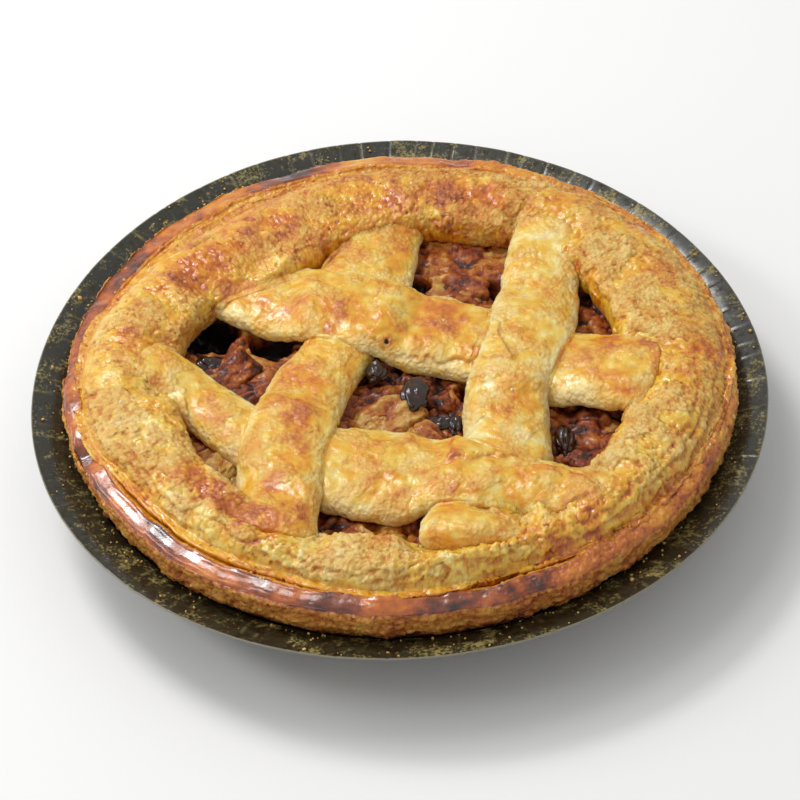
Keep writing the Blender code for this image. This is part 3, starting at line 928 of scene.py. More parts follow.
def crumb_relief(points, seed):
    """Height of crumbly dough: grains of two sizes, torn sheets, pores and short cracks.

    Also gives where the pores and cracks are, and a value that differs from grain to grain.
    """
    bent = points + 0.45 * np.stack([lumps(points, 1.0, seed + k) for k in (1, 2, 3)], -1)
    large, large_number = grains(bent, 1.6, seed)
    small, small_number = grains(bent, 0.9, seed + 5)
    zone = smooth_step(fractal(points, 8.0, 2, seed + 9), -0.45, 0.3)
    height = (0.08 + 0.22 * zone) * (1.0 - 1.7 * large ** 2) * (0.2 + 1.1 * large_number)
    height += (0.12 + 0.12 * zone) * (1.0 - 1.7 * small ** 2) * (0.3 + small_number)
    slow = 2.4 * fractal(bent, 4.6, 4, seed + 21)
    height += 0.30 * (terraces(slow) - 0.55 * slow)
    pore = smooth_step(lumps(points, 1.2, seed + 11), 0.52, 0.78) * zone
    height -= 0.30 * pore
    ridge = np.abs(fractal(points, 4.6, 2, seed + 13))
    where = smooth_step(lumps(points, 6.0, seed + 17), 0.30, 0.55)
    crack = (1.0 - smooth_step(ridge, 0.01, 0.09)) * where
    height -= 0.26 * crack
    tint = zone * (0.7 * (small_number - 0.5) + 0.5 * (large_number - 0.5))
    return height, pore, crack, tint


def pit_shade_layer(height, steps, scale, **closed):
    """How deep each place lies below what surrounds it, from 0 to 1: the amount of painted shade there.
    """
    return np.clip((blurred(height, steps, **closed) - height) / scale, 0.0, 1.0)


# The rolled rim

RIM_TURNS = 1280
RIM_UPPER = 64
# The rim's lower side: share of the way from the inner to the outer edge, and how high
RIM_LOWER = [
    (98.0, 0.35),
    (93.0, 0.0),
    (76.0, 0.0),
    (56.0, 0.0),
    (36.0, 0.0),
    (20.0, 0.0),
    (9.0, 0.0),
    (3.5, 0.0),
    (1.0, 0.12),
    (0.0, 0.35),
    (-0.5, 0.6),
    (-0.5, 0.85),
]
# How brown the rim is in each direction, in degrees
RIM_BROWNING = np.array([
    (-180, 0.27),
    (-155, 0.28),
    (-130, 0.22),
    (-105, 0.20),
    (-80, 0.20),
    (-50, 0.27),
    (-25, 0.28),
    (-5, 0.33),
    (15, 0.28),
    (35, 0.34),
    (60, 0.42),
    (90, 0.46),
    (120, 0.45),
    (145, 0.43),
    (165, 0.31),
    (180, 0.27),
])


def smooth_bead(turn):
    """1 at the front left, where the crust's edge is a smooth glazed bead."""
    return near_angle(turn, -138.0, 58.0)


def edge_joining(turn):
    """1 where the rim runs out over the crust's edge, 0 at 90 to 140 degrees, where a step shows."""
    return 1.0 - smooth_step(apart_degrees(turn, -40.0), 100.0, 130.0)


def rim_grid():
    """The rim's section carried round the pie between its inner and outer edges.

    Most columns lie on the upper side. The rest close the section below, and at the inner
    edge they hang down to the filling.
    """
    step = np.linspace(0.0, 1.0, RIM_UPPER)
    share = 100.0 * (0.55 * step + 0.225 * (1.0 - np.cos(np.pi * step)))
    lower = np.array(RIM_LOWER)
    share = np.concatenate([share, lower[:, 0]])
    turn, way = directions(RIM_TURNS)
    inner, outer = rim_edges(turn)
    ragged = 0.45 * lumps(way * 40.0, 6.0, 3) + 0.35 * lumps(way * 40.0, 2.2, 4)
    ragged = ragged + 0.15 * lumps(way * 40.0, 0.9, 6)
    inner = inner + ragged
    joined_edge = edge_joining(turn)
    outer = outer + 0.5 * lumps(way * 54.0, 7.0, 5) + 0.25 * lumps(way * 54.0, 2.4, 6)
    outer = outer + 1.3 * joined_edge
    radius = inner + (outer - inner) * share / 100.0
    points = way * radius[..., None]
    top = rim_top(way * (inner + (outer - inner) * np.clip(share, 0.0, 100.0) / 100.0)[..., None])
    flat = points * np.array([1.0, 1.0, 0.0])
    waves = 0.45 * fractal(flat, 15.0, 2, 21) + 0.35 * lumps(flat, 6.0, 23)
    body = smooth_step(share, 0.0, 12.0) * (1.0 - smooth_step(share, 88.0, 100.0))
    top = top + waves * body
    flush = 1.0 - smooth_step(apart_degrees(turn, 8.0), 65.0, 100.0)
    edge_height = (CRUST_EDGE - 0.12 + 0.37 * flush) * joined_edge * smooth_step(share, 60.0, 80.0)
    top = np.maximum(melted(top, [edge_height]), edge_height)
    top = melted(top, [strip_top(name, flat) for name in STRIPS])
    under = mixed(RIM_HANG, RIM_UNDER, smooth_step(radius - inner, 0.5, 5.0))
    upper = np.concatenate([np.ones(RIM_UPPER), lower[:, 1]])
    points[..., 2] = mixed(under, top, upper)
    return leaned(points), upper[None] * np.ones_like(radius), share[None] / 100.0, turn


def make_rim(finish):
    """The rim's grid pushed along its normals by crumbs, flakes and layers, then browned."""
    points, upper, share, turn = rim_grid()
    normal = grid_normals(points, True, True)
    height, pore, crack, tint = crumb_relief(points, 40)
    layered = smooth_step(share, 0.5, 0.85) * np.maximum(
        near_angle(turn, -125.0, 50.0), 1.3 * near_angle(turn, -45.0, 40.0))
    lines = layer_lines(points, 2.3, 63)
    smooth_band = near_angle(turn, 140.0, 26.0) * smooth_step(share, 0.60, 0.74)
    golden_band = near_angle(turn, -115.0, 55.0) * smooth_step(share, 0.86, 0.90)
    torn = near_angle(turn, -62.0, 42.0) * smooth_step(share, 0.25, 0.6)
    height = height * (1.0 - 0.7 * smooth_band) * (1.0 - 0.75 * golden_band) * (1.0 + 0.3 * torn)
    flakes = 2.0 * fractal(points * np.array([1.0, 1.0, 1.8]), 3.4, 4, 59)
    height = height + 0.26 * torn * (terraces(flakes, 0.25) - 0.4 * flakes)
    height = height + 0.55 * (lines - 0.5) * layered * (1.0 - golden_band)
    strips = [strip_top(name, points) for name in STRIPS]
    beside = np.max([1.0 - np.abs(points[..., 2] - other) / 3.0 for other in strips], 0)
    beside = np.clip(beside, 0.0, 1.0)
    points = points + normal * (height * (0.25 + 0.75 * upper))[..., None]
    pit = pit_shade_layer(height, 4, 0.30)
    high = height - blurred(height, 8)
    brown = by_direction(turn, RIM_BROWNING)
    brown = brown + 0.14 * fractal(points, 11.0, 3, 71) + 0.12 * fractal(points, 3.0, 3, 73)
    baked = browned_places(points)
    brown += baked * (0.9 + 0.5 * fractal(points, 2.2, 3, 77))
    # Torn flakes are browner; the part that grows with the pits is painted shade.
    brown += torn * (0.10 + 0.12 * pit)
    pit = pit * (1.0 - 0.5 * torn)
    # Raised crumbs paler and sunk places browner: painted light on the tops, painted shade in the
    # hollows.
    brown += 0.24 * tint - 0.30 * np.clip(high, -0.3, 0.3) + 0.20 * crack + 0.10 * pore
    brown += 0.16 * smooth_step(share, 0.84, 1.0) + 0.10 * smooth_step(0.05 - share, 0.0, 0.05)
    brown = np.minimum(brown + 0.12 * golden_band, 0.70)
    gloss = 0.16 + 0.70 * smooth_step(fractal(points, 7.0, 3, 81), -0.05, 0.35)
    gloss = gloss + 0.42 * torn
    gloss = gloss + 0.9 * baked + 0.7 * smooth_band + 0.9 * golden_band + 0.5 * beside
    gloss = np.clip(gloss, 0.0, 0.95)
    layers = {"brown": brown, "pit": pit, "gloss": gloss * (1.0 - 0.6 * pore)}
    faces = grid_faces(RIM_TURNS, points.shape[1], True, True)
    flat = points.reshape(-1, 3)
    piece = make_mesh("rolled_rim_dough", flat, faces, None, finish, layers)
    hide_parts("rolled_rim")
    return points, grid_normals(points, True, True), smooth_step(upper, 0.9, 1.0)


# The crust's bottom, side and standing edge

CRUST_TURNS = 1280
# How brown the crust's standing edge is in each direction, in degrees
BEAD_BROWNING = np.array([
    (-180, 0.80),
    (-160, 0.80),
    (-135, 0.79),
    (-110, 0.78),
    (-92, 0.78),
    (-78, 0.86),
    (-64, 0.80),
    (-52, 0.60),
    (-35, 0.56),
    (-20, 0.54),
    (10, 0.52),
    (45, 0.54),
    (75, 0.66),
    (100, 0.70),
    (130, 0.68),
    (160, 0.78),
    (180, 0.80),
])


def crust_grid():
    """The crust's section turned round the axis, with the edge's layers, dip and notch."""
    side = [
        (-5.0, LEDGE),
        (-4.1, LEDGE + 0.7),
        (-3.2, CRUST_EDGE + 0.05),
        (-2.6, CRUST_EDGE + 0.22),
        (-1.9, CRUST_EDGE + 0.03),
        (-0.9, CRUST_EDGE - 0.26),
        (-0.2, CRUST_EDGE - 0.70),
        (0.15, CRUST_EDGE - 1.7),
        (-0.2, CRUST_EDGE - 3.2),
        (-0.1, CRUST_EDGE - 4.4),
        (-0.6, 14.2),
        (-1.5, 12.9),
        (-2.1, 12.0),
    ]
    rows = curve_through(side, np.linspace(0.0, 1.0, 62))
    radius_out = CRUST_RADIUS + rows[:, 0]
    profile = np.stack([radius_out, rows[:, 1]], -1)
    ledge = np.array([(LEDGE_INNER, LEDGE - 0.1), (50.0, LEDGE), (52.5, LEDGE)])
    below = np.array([(54.6, 9.6), (52.0, 5.8), (49.4, 1.9), (48.4, 1.0), (0.0, 0.95)])
    hollow = np.array([(0.0, 4.3), (42.6, 4.3), (44.2, 5.4)])
    profile = np.concatenate([hollow, ledge, profile, below])
    turn, way = directions(CRUST_TURNS)
    radius, z = turned_profile(profile, CRUST_TURNS)
    outside = smooth_step(radius, 50.0, 55.0)
    above = smooth_step(z, LEAN_FROM + 0.2, 15.0)
    at = way * radius[..., None]
    at[..., 2] = z
    radius += outside * above * 0.9 * smooth_step(np.cos(turn), -0.2, 1.0)
    radius += outside * above * 0.50 * lumps(way * 58.0, 8.0, 13)
    _, outer = rim_edges(turn)
    back = profile[None, :, 0] - CRUST_RADIUS
    inside = (back > -5.1) & (back < -1.1) & (z > LEDGE - 0.05)
    free = outer - 0.2 + 0.26 * (back + 5.0)
    radius = np.where(inside, np.maximum(radius, free), radius)
    edge = smooth_step(z, LEDGE, CRUST_EDGE - 0.2) * outside
    lift = 0.35 * lumps(way * 58.0, 7.0, 15)
    lift = lift + 0.22 * (1.0 - 0.75 * smooth_bead(turn)) * lumps(way * 58.0, 2.6, 16)
    lift = lift - 1.1 * near_angle(turn, 140.0, 34.0) - 2.0 * near_angle(turn, -162.0, 2.6)
    z = z + lift * edge
    points = way * radius[..., None]
    points[..., 2] = z
    return leaned(points), turn, outside, at


def make_crust(finish):
    """The crust's grid pushed along its normals by crumbs and layers, its edge a brown bead."""
    points, turn, outside, at = crust_grid()
    normal = grid_normals(points, True, False)
    visible = outside * smooth_step(at[..., 2], 11.5, 13.5)
    height, _, _, tint = crumb_relief(points, 90)
    strata_place = np.stack([points[..., 0], points[..., 1], points[..., 2] * 9.0], -1)
    strata = fractal(strata_place, 8.0, 3, 101)
    back = np.hypot(at[..., 0], at[..., 1]) - CRUST_RADIUS
    bevel = smooth_step(back, -3.4, -2.6) * smooth_step(at[..., 2], CRUST_EDGE - 1.4, CRUST_EDGE - 0.7)
    shelf = (1.0 - smooth_step(back, -3.8, -2.6)) * outside
    ragged = 1.0 - smooth_step(np.abs(apart_degrees(turn, 0.0)), 55.0, 90.0)
    bead = bevel * (1.0 - 0.6 * ragged)
    calm = smooth_bead(turn)
    crumbs = height * (1.0 - (0.88 + 0.09 * calm) * bead) * (1.0 - 0.55 * shelf) * 1.15
    lines = layer_lines(points, 1.5, 113)
    relief = crumbs + 0.26 * strata * (1.0 - 0.7 * bevel)
    relief = relief + (0.16 - 0.10 * calm) * fractal(points, 3.0, 2, 103) * bevel
    relief = relief + 0.25 * (lines - 0.5) * shelf
    points = points + normal * (relief * visible)[..., None]
    pit = pit_shade_layer(relief, 4, 0.34, close_columns=False) * visible
    z = at[..., 2]
    brown = 0.50 + 0.12 * fractal(points, 6.0, 3, 105) + 0.08 * strata + 0.25 * tint
    # Raised crumbs paler and sunk places browner: painted light on the tops, painted shade in the
    # hollows.
    brown = brown - 0.30 * np.clip(relief - blurred(relief, 6, close_columns=False), -0.3, 0.3)
    # Darker towards the foot: partly baked colour, partly painted shade where the side meets the case.
    brown += 0.24 * (1.0 - smooth_step(z, 12.6, 15.6)) + 0.06 * near_angle(turn, -60.0, 50.0)
    shelf_tone = 0.39 + 0.14 * fractal(points, 4.0, 3, 109)
    shelf_tone = shelf_tone + 0.32 * smooth_step(lines, 0.45, 0.85) * near_angle(turn, 130.0, 60.0)
    brown = mixed(brown, shelf_tone, shelf)
    streaks = fractal(points * np.array([0.35, 0.35, 1.2]), 3.4, 4, 107)
    dark = by_direction(turn, BEAD_BROWNING)
    dark = dark + (0.26 - 0.10 * calm) * streaks + 0.05 * fractal(points, 1.6, 3, 108)
    brown = mixed(brown, dark, smooth_step(bevel, 0.1, 0.7))
    gloss = np.clip(1.3 * bead + 0.7 * shelf, 0.10, 1.0)
    layers = {"brown": brown[:, 1:-1], "pit": pit[:, 1:-1], "gloss": gloss[:, 1:-1]}
    ends = [(0.0, 0.0, 4.3), (0.0, 0.0, 0.95)]
    flat, faces, caps, layers = capped(points[:, 1:-1], ends, layers, 0.3)
    piece = make_mesh("pie_crust_dough", flat, faces, caps, finish, layers)
    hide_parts("pie_crust")
    return points, normal, visible * (1.0 - bevel)


# The lattice strips

STRIP_ROWS = 400
STRIP_TOP_COLUMNS = 88
STRIP_COLUMNS = 110
PINHOLE = (-1.7, 4.9)
STRIP_BROWNING = {
    "lattice_left_upright": 0.06,
    "lattice_right_upright": -0.08,
    "lattice_back_cross": 0.08,
    "lattice_front_cross": 0.0,
}


def strip_section():
    """A strip's outline as across and up shares: most points on the upper half."""
    upper = np.linspace(0.0, np.pi, STRIP_TOP_COLUMNS, endpoint=False)
    lower = np.linspace(np.pi, 2 * np.pi, STRIP_COLUMNS - STRIP_TOP_COLUMNS, endpoint=False)
    angle = np.concatenate([upper, lower])
    power = 2.0 / STRIP_ROUNDNESS
    across = np.sign(np.cos(angle)) * np.abs(np.cos(angle)) ** power
    up = np.sign(np.sin(angle)) * np.abs(np.sin(angle)) ** power
    return across, up


def strip_grid(name):
    """A strip's section carried along its middle line, raised where it passes over."""
    share = np.linspace(0.0, 1.0, STRIP_ROWS)
    line = strip_line(name, share)
    ahead = np.gradient(curve_through(STRIPS[name], share)[:, :2], axis=0)
    ahead /= np.linalg.norm(ahead, axis=1, keepdims=True)
    across_way = np.stack([ahead[:, 1], -ahead[:, 0], 0 * ahead[:, 0]], -1)
    across, up = strip_section()
    seed = 120 + 10 * sorted(STRIPS).index(name)
    middle = np.stack([line[:, 0], line[:, 1], 0 * line[:, 0]], -1)
    wobble = 0.05 * lumps(middle, 7.0, seed) + 0.03 * lumps(middle, 3.0, seed + 1)
    half = line[:, 2] * (1.0 + wobble) / 2
    points = middle[:, None] + across_way[:, None] * (across[None, :, None] * half[:, None, None])
    full, climb = line[:, 3, None], line[:, 4, None]
    body = STRIP_BELLY + np.where(up > 0, STRIP_CROWN, STRIP_BELLY) * up
    height = STRIP_LOW + strip_rise(name, points) + climb + body[None] * full
    others = [strip_top(other, points) for other in STRIPS if other != name]
    rim = rim_top(points)
    beside = np.clip(1.0 - np.abs(height - rim) / 3.0, 0.0, 1.0)
    others.append(rim)
    points[..., 2] = melted(height, others)
    return leaned(points), across, up, seed, others, beside


def make_strip(name, finish):
    """A strip's grid pushed along its normals by swellings, crumbs and thin sheets."""
    points, across, up, seed, others, beside = strip_grid(name)
    normal = grid_normals(points, False, True)
    top = smooth_step(up, 0.30, 0.85)[None, :]
    side = smooth_step(np.abs(across), 0.70, 0.97)[None, :]
    soft = 0.28 * fractal(points, 5.5, 2, seed + 3) + 0.13 * fractal(points, 1.9, 3, seed + 4)
    crumb, _, crack, tint = crumb_relief(points, seed + 5)
    ragged = smooth_step(fractal(points, 8.0, 2, seed + 6), -0.2, 0.5)
    crumb = crumb + 0.30 * crack
    relief = soft + crumb * (0.10 + 0.23 * ragged + 0.08 * side) + sheet_layer(points) * top
    points = points + normal * relief[..., None]
    pit = pit_shade_layer(relief, 4, 0.30, close_rows=False)
    high = relief - blurred(relief, 9, close_rows=False)
    brown = 0.13 + 0.24 * fractal(points, 7.0, 3, seed + 7) + 0.16 * fractal(points, 2.4, 3, seed + 8)
    brown += 0.18 * top - 0.14 * side * (1.0 - ragged)
    baked = browned_places(points)
    brown += baked * (0.3 + 0.7 * top) * (0.9 + 0.5 * fractal(points, 1.8, 3, seed + 9))
    brown += 0.25 * np.clip(high, -0.15, 0.25) + 0.14 * tint * ragged + STRIP_BROWNING[name]
    # Browner where a strip meets another strip or the rim: painted shade in the crease between them.
    contact_shade = np.max([1.0 - np.abs(points[..., 2] - other) / 1.6 for other in others], 0)
    contact_shade = np.clip(contact_shade, 0.0, 1.0)
    brown += 0.16 * contact_shade * smooth_step(fractal(points, 5.0, 3, seed + 10), -0.3, 0.3)
    gloss = 0.45 + 0.50 * smooth_step(fractal(points, 5.0, 3, seed + 2), -0.25, 0.25)
    gloss = gloss * (0.55 + 0.45 * top) * (1.0 - 0.5 * beside) + 0.3 * baked
    brown = np.minimum(brown, 0.66)
    # A pinhole: sunk a little and painted near black, painted shade inside the hole.
    hole = top * patch(points, *PINHOLE, 0.22, 0.42)
    points = points - normal * (0.7 * hole)[..., None]
    brown += 0.9 * hole
    layers = {"brown": brown, "pit": pit, "gloss": np.clip(gloss, 0.0, 0.9)}
    flat = points.reshape(-1, 3)
    faces = grid_faces(STRIP_ROWS, STRIP_COLUMNS, False, True)
    first, last = len(flat), len(flat) + 1
    flat = np.concatenate([flat, points[0].mean(0)[None], points[-1].mean(0)[None]])
    ring = np.arange(STRIP_COLUMNS)
    end = (STRIP_ROWS - 1) * STRIP_COLUMNS
    caps = np.concatenate([fan(first, ring), fan(last, end + ring, flip=True)])
    layers = {key: np.append(np.broadcast_to(value, points.shape[:2]).ravel(), (0.3, 0.3))
              for key, value in layers.items()}
    piece = make_mesh(name + "_dough", flat, faces, caps, finish, layers)
    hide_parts(name)
    return points, grid_normals(points, False, True), top * np.ones(points.shape[:2])


# The filling

FILLING_TURNS = 860
FILLING_RINGS = 112
FILLING_RADIUS = 45.6
FILLING_FLOOR = 4.7
FRUIT_GRID = (64, 90)
RAISIN_GRID = (60, 90)


def make_filling(finish):
    """The syrupy heap under the strips: a round bed of fruit with lumps and pools."""
    rings = FILLING_RINGS
    side = [(46.0, FILLING_TOP - 0.8), (43.2, 5.6), (42.0, FILLING_FLOOR), (0.6, FILLING_FLOOR)]
    side = np.array(side)
    radius = np.concatenate([np.linspace(0.6, FILLING_RADIUS, rings - 4), side[:, 0]])
    z = np.concatenate([np.full(rings - 4, FILLING_TOP), side[:, 1]])
    _, way = directions(FILLING_TURNS)
    points = way * radius[:, None] + z[:, None] * np.array([0.0, 0.0, 1.0])
    top = np.zeros_like(points[..., 0])
    top[:, :rings - 5] = 1.0
    bent = points + 1.3 * np.stack([lumps(points, 3.0, 210 + k) for k in (1, 2, 3)], -1)
    chunk, number = grains(bent, 6.0, 200)
    bits, bits_number = grains(bent, 2.2, 203)
    height = 1.3 * smooth_step(0.70 - chunk, 0.0, 0.30) * (0.2 + 0.8 * number)
    height += 0.75 * smooth_step(0.62 - bits, 0.0, 0.4) * bits_number
    fibres = fractal(bent * np.array([0.6, 1.3, 1.0]), 1.8, 4, 205)
    height += 0.42 * fibres + 0.5 * fractal(points, 5.0, 2, 206) - 0.5
    hollow = np.zeros_like(height)
    for x, y, reach, depth in HOLLOWS:
        hollow = np.maximum(hollow, depth * patch(bent, x, y, 0.5 * reach, reach))
    points[..., 2] += (height - hollow) * top
    points = leaned(points)
    dark = np.full(height.shape, 0.52)
    for x, y, reach, tone in FRUIT_TONES:
        dark = mixed(dark, tone, patch(bent, x, y, 0.4 * reach, reach))
    # Gaps and sunk places are painted darker, here and on the next line: painted shade in the recesses.
    dark = dark + 0.45 * (number - 0.5) + 0.25 * (bits_number - 0.5) - 0.22 * fibres + 0.16 * hollow
    dark += 0.40 * np.clip(blurred(height, 5) - height, -0.3, 1.0)
    ends = [points[:, 0].mean(0), (0.0, 0.0, FILLING_FLOOR)]
    flat, faces, caps, layers = capped(points, ends, {"dark": dark}, 0.6)
    piece = make_mesh("filling_heap", flat, faces, caps, finish, layers)
    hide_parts("apple_filling")


def turned_by(degrees):
    """The rotation matrix for turns about X, then Y, then Z."""
    a, b, c = (math.radians(d) for d in degrees)
    x = Matrix.Rotation(a, 3, "X")
    y = Matrix.Rotation(b, 3, "Y")
    z = Matrix.Rotation(c, 3, "Z")
    return np.array(z @ y @ x)


def ball_grid(rows, columns):
    """Unit directions on a ball, rows from pole to pole, with the poles left out."""
    tilt = (np.arange(rows) + 0.5) / rows * np.pi
    turn = np.arange(columns) / columns * 2 * np.pi
    tilt, turn = tilt[:, None], turn[None]
    x, y = np.sin(tilt) * np.cos(turn), np.sin(tilt) * np.sin(turn)
    return np.stack([x, y, np.cos(tilt) + 0 * turn], -1)


def ball_faces(rows, columns):
    """Faces of a ball grid whose two poles are the last two vertices."""
    quads = grid_faces(rows, columns, False, True)
    ring = np.arange(columns)
    north, south = rows * columns, rows * columns + 1
    end = (rows - 1) * columns
    return quads, np.concatenate([fan(north, ring), fan(south, end + ring, flip=True)])


def with_poles(shape):
    """A ball grid's points, then the middles of its first and last row, all leaned."""
    poles = np.stack([shape[0].mean(0), shape[-1].mean(0)])
    return leaned(np.concatenate([shape.reshape(-1, 3), poles]))


def joined(parts, quads, caps):
    """Arrays for many copies of one ball grid: points, quads and triangles."""
    size = parts.shape[1]
    shift = (np.arange(len(parts)) * size)[:, None, None]
    quads = (quads[None] + shift).reshape(-1, 4)
    caps = (caps[None] + shift).reshape(-1, 3)
    return parts.reshape(-1, 3), quads, caps


def make_apple_pieces(finish):
    """Cut apple: a box with rounded corners and sunken, fibrous faces."""
    way = ball_grid(*FRUIT_GRID)
    power = 3.4
    box = way / (np.abs(way) ** power).sum(-1, keepdims=True) ** (1.0 / power) / 2.0
    quads, caps = ball_faces(*FRUIT_GRID)
    parts, darks = [], []
    for k, (middle, size, turns, dark) in enumerate(APPLE_PIECES):
        shape = box * np.array(size)
        shape = shape * (1.0 + 0.16 * lumps(way, 0.9, 300 + k))[..., None]
        fibres = fractal(shape * np.array([0.45, 1.0, 1.0]), 2.4, 4, 360 + k)
        rough, _ = grains(shape, 1.5, 330 + k)
        shape = shape + way * (0.70 * fibres + 0.45 * (0.5 - rough))[..., None]
        shape = shape @ turned_by(turns).T + np.array(middle)
        parts.append(with_poles(shape))
        tone = dark + 0.30 * lumps(shape, 2.6, 390 + k) - 0.26 * fibres + 0.25 * (rough - 0.45)
        darks.append(np.append(tone.ravel(), (dark, dark)))
    points, quads, caps = joined(np.array(parts), quads, caps)
    layers = {"dark": np.concatenate(darks)}
    make_mesh("apple_pieces", points, quads, caps, finish, layers)


def make_raisins(finish):
    """Raisins: ovals with deep folds in the skin."""
    way = ball_grid(*RAISIN_GRID)
    quads, caps = ball_faces(*RAISIN_GRID)
    parts = []
    for k, (middle, half) in enumerate(RAISINS):
        fold = np.abs(lumps(way * np.array([1.0, 0.45, 1.0]), 0.65, 420 + k))
        crumple = 1.06 - 0.15 * (1.0 - smooth_step(fold, 0.0, 0.45)) + 0.26 * lumps(way, 0.9, 440 + k)
        shape = way * crumple[..., None]
        shape = shape * np.array(half) + np.array(middle)
        parts.append(with_poles(shape))
    points, quads, caps = joined(np.array(parts), quads, caps)
    make_mesh("raisins", points, quads, caps, finish)


# The case

CASE_TURNS = 1440


def make_case(finish):
    """A board profile turned round the axis as one closed shell, with creases, painted sheen along
    them, and a wavy lip.
    """
    inner = [(49.0, 0.6), (50.0, 1.4), (57.0, 12.0), (58.4, 13.5), (61.6, 14.9), (64.9, 15.85)]
    rows_in = curve_through(inner, np.linspace(0.0, 1.0, 44))
    outer = [(64.9, 15.5), (61.9, 14.25), (59.1, 12.95), (58.0, 11.9), (50.5, 0.5), (49.3, 0.05)]
    rows_out = curve_through(outer, np.linspace(0.0, 1.0, 20))
    profile = np.concatenate([[(1.0, 0.6), (30.0, 0.6)], rows_in, rows_out, [(30.0, 0.0), (1.0, 0.0)]])
    turn, way = directions(CASE_TURNS)
    radius, z = turned_profile(profile, CASE_TURNS)
    random = np.random.RandomState(SEED + 1)
    folds = np.zeros_like(radius)
    shine = np.zeros_like(radius)
    place = 0.0
    while place < 360.0:
        place += random.uniform(2.2, 6.6)
        width = random.uniform(0.16, 0.30)
        start, end = random.uniform(52.0, 59.0), random.uniform(61.5, 66.0)
        slant = random.uniform(-0.12, 0.12)
        line = near_angle(turn - np.radians(slant) * (radius - 60.0), place, width)
        along = smooth_step(radius, start, start + 1.0) * (1.0 - smooth_step(radius, end - 0.6, end))
        folds += line * smooth_step(radius, 50.0, 53.0) * random.uniform(0.5, 1.0)
        # A streak of painted sheen along each crease's outer stretch.
        shine = np.maximum(shine, line * along * random.uniform(0.0, 0.9))
    wave = smooth_step(radius, 57.5, 65.0)
    at = way * 60.0
    bend = -CASE_LOBE * 1.16 * np.cos(3 * (turn - CASE_LOBE_TURN)) * wave
    ripple = 0.10 * lumps(at, 7.0, 500) * wave
    z = z - 0.13 * folds * smooth_step(z, 1.0, 3.0) + ripple
    points = way * (radius + bend)[..., None]
    points[..., 2] = np.maximum(z, 0.0)
    cut = np.zeros_like(radius)
    top = 2 + len(rows_in)
    cut[:, top - 1:top + 1] = 1.0
    ends = [(0.0, 0.0, 0.6), (0.0, 0.0, 0.0)]
    flat, faces, caps, layers = capped(points, ends, {"crease": shine, "cut": cut}, 0.0)
    piece = make_mesh("case_board", flat, faces, caps, finish, layers)
    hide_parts("baking_case")


# Crumbs and sugar

BIT_GRID = (6, 8)
CRUMB_COUNT = 420
SUGAR_COUNT = 24
CASE_CRUMB_COUNT = 260
LARGER_CASE_CRUMBS = 10


def scattered(random, surfaces, count, sink):
    """Random places on the upper sides of grids, sunk into the surface a little."""
    spots, normals = [], []
    for (points, normal, weight), share in surfaces:
        chance = (weight * np.clip(normal[..., 2], 0.0, 1.0)).ravel()
        picks = random.choice(chance.size, int(count * share), p=chance / chance.sum())
        spots.append(points.reshape(-1, 3)[picks])
        normals.append(normal.reshape(-1, 3)[picks])
    spots, normals = np.concatenate(spots), np.concatenate(normals)
    return spots - normals * sink


def make_bits(name, finish, random, spots, sizes, flatness=0.7, boxy=0.0):
    """Small irregular lumps, one a spot, each an uneven ball or block of its own size."""
    way = ball_grid(*BIT_GRID)
    quads, caps = ball_faces(*BIT_GRID)
    unit = np.concatenate([way.reshape(-1, 3), [(0, 0, 1.0), (0, 0, -1.0)]])
    if boxy:
        unit = unit / (np.abs(unit) ** boxy).sum(-1, keepdims=True) ** (1.0 / boxy)
    count = len(spots)
    angle = random.uniform(0, 2 * np.pi, (count, 3))
    parts = np.empty((count, len(unit), 3))
    stretch = random.uniform(0.7, 1.3, (count, 3)) * np.array([1.0, 1.0, flatness])
    rough = 1.0 + random.uniform(-0.16, 0.16, (count, len(unit), 1)) * (0.4 if boxy else 1.0)
    for axis in range(3):
        parts[..., axis] = unit[None, :, axis] * stretch[:, None, axis]
    parts = parts * rough * sizes[:, None, None]
    for axis in range(3):
        c, s = np.cos(angle[:, axis, None]), np.sin(angle[:, axis, None])
        i, j = (axis + 1) % 3, (axis + 2) % 3
        first = parts[..., i] * c - parts[..., j] * s
        parts[..., j] = parts[..., i] * s + parts[..., j] * c
        parts[..., i] = first
    parts += spots[:, None]
    points, quads, caps = joined(parts, quads, caps)
    make_mesh(name, points, quads, caps, finish)


def make_crumbs(rim, crust, strips):
    """Loose crumbs and sugar grains on the dough, and crumbs on the case's lip."""
    random = np.random.RandomState(SEED + 2)
    finish = crumb_finish("crumb", (0.86, 0.56, 0.20), (0.74, 0.34, 0.07))
    surfaces = [(rim, 0.5), (crust, 0.5)]
    spots = scattered(random, surfaces, CRUMB_COUNT, 0.10)
    sizes = random.uniform(0.14, 0.42, len(spots))
    make_bits("loose_crumbs", finish, random, spots, sizes)
    surfaces = [(rim, 0.5)] + [(strip, 0.125) for strip in strips]
    spots = scattered(random, surfaces, SUGAR_COUNT, 0.03)
    sizes = random.uniform(0.14, 0.30, len(spots))
    make_bits("sugar_grains", sugar_finish(), random, spots, sizes, 0.8, boxy=4.0)
    count = CASE_CRUMB_COUNT
    turn = random.uniform(0, 2 * np.pi, count)
    radius = 58.6 + 5.6 * random.uniform(0, 1, count) ** 1.8
    height = np.interp(radius, [57.0, 58.4, 61.6, 64.8], [12.3, 13.7, 15.0, 16.1])
    spots = np.stack([np.cos(turn) * radius, np.sin(turn) * radius, height], -1)
    sizes = random.uniform(0.08, 0.26, count)
    sizes[:LARGER_CASE_CRUMBS] = random.uniform(0.3, 0.5, LARGER_CASE_CRUMBS)
    finish = crumb_finish("tray_crumb", (0.80, 0.55, 0.20), (0.66, 0.36, 0.09))
    make_bits("case_crumbs", finish, random, spots, sizes)


# Light, floor and camera

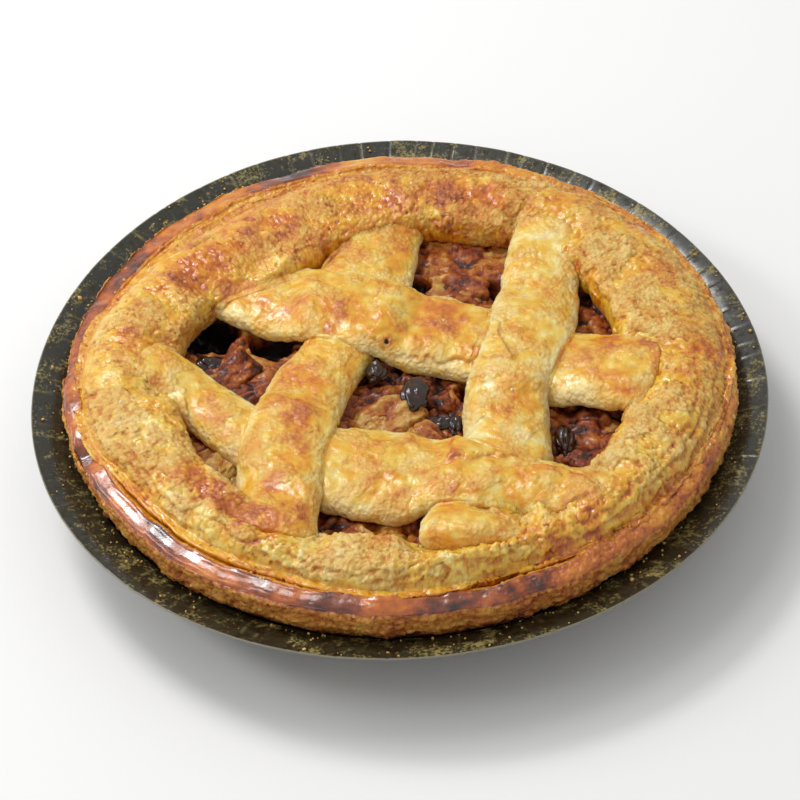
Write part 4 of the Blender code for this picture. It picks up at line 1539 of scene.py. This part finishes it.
FLOOR_HALF = 6.0
WORLD_STRENGTH = 0.51
LIGHT_AIM = Vector((0.0, 0.0, 0.015))
LIGHT_DISTANCE = 0.75


def make_floor():
    mesh = bpy.data.meshes.new("floor")
    signs = [(-1, -1), (1, -1), (1, 1), (-1, 1)]
    mesh.from_pydata([(x * FLOOR_HALF, y * FLOOR_HALF, 0) for x, y in signs], [], [(0, 1, 2, 3)])
    finish = Finish("floor_paper", Base_Color=(0.93, 0.93, 0.93, 1.0), Roughness=0.9)
    mesh.materials.append(finish.material)
    floor = bpy.data.objects.new("floor", mesh)
    bpy.context.scene.collection.objects.link(floor)


def add_light(name, way, size, power, colour=(1.0, 1.0, 1.0), along=None):
    """A rectangular light in a direction from the pie, its long side along the last one."""
    data = bpy.data.lights.new(name, "AREA")
    data.shape = "RECTANGLE"
    data.size, data.size_y = size
    data.energy = power
    data.color = colour
    light = bpy.data.objects.new(name, data)
    way = Vector(way).normalized()
    light.location = LIGHT_AIM + way * LIGHT_DISTANCE
    light.rotation_euler = way.to_track_quat("Z", "Y").to_euler()
    if along is not None:
        across = Vector(along).cross(way).normalized()
        axes = Matrix((across, way.cross(across), way)).transposed()
        light.rotation_euler = axes.to_euler()
    bpy.context.scene.collection.objects.link(light)


def make_light():
    """White surroundings, a key and a small bright light at the back left, one at the left."""
    world = bpy.data.worlds.new("studio")
    world.use_nodes = True
    background = world.node_tree.nodes["Background"]
    background.inputs["Color"].default_value = (1.0, 1.0, 1.0, 1.0)
    background.inputs["Strength"].default_value = WORLD_STRENGTH
    bpy.context.scene.world = world
    add_light("key", (-0.42, 0.35, 0.84), (0.20, 0.56), 1.6, (1.0, 0.985, 0.96))
    add_light("sparkle", (-0.41, 0.44, 0.80), (0.22, 0.12), 1.4)
    add_light("edge", (-0.76, 0.02, 0.65), (0.13, 0.80), 1.3, along=(0.39, -0.91, 0.47))
    bpy.context.scene.view_settings.view_transform = "Standard"
    bpy.context.scene.view_settings.look = "None"


def make_camera():
    """The camera at the photograph's angle: a long lens, a little tilted."""
    back = Vector((0.0, -math.cos(CAMERA_HEIGHT), math.sin(CAMERA_HEIGHT)))
    right = Vector((1.0, 0.0, 0.0))
    up = back.cross(right)
    c, s = math.cos(CAMERA_TILT), math.sin(CAMERA_TILT)
    turned_right = c * right + s * up
    turned_up = -s * right + c * up
    data = bpy.data.cameras.new("camera")
    data.lens = LENS
    data.sensor_width = 36.0
    data.clip_start = 0.01
    camera = bpy.data.objects.new("camera", data)
    place = (AIM + CAMERA_DISTANCE * back) * MM
    turn = Matrix((turned_right, turned_up, back)).transposed().to_4x4()
    camera.matrix_world = Matrix.Translation(place) @ turn
    bpy.context.scene.collection.objects.link(camera)
    bpy.context.scene.camera = camera


def main():
    crumbly = pastry_finish("baked_dough_finish", 0.38)
    crusty = pastry_finish("baked_crust_finish", 0.26)
    glazed = pastry_finish("glazed_dough_finish", 0.36)
    make_case(board_finish())
    crust = make_crust(crusty)
    rim = make_rim(crumbly)
    strips = [make_strip(name, glazed) for name in STRIPS]
    make_filling(filling_finish("syrupy_filling", 0.3))
    make_apple_pieces(filling_finish("stewed_apple_finish", 0.25))
    make_raisins(raisin_finish())
    make_crumbs(rim, crust, strips)
    make_floor()
    make_light()
    make_camera()


main()
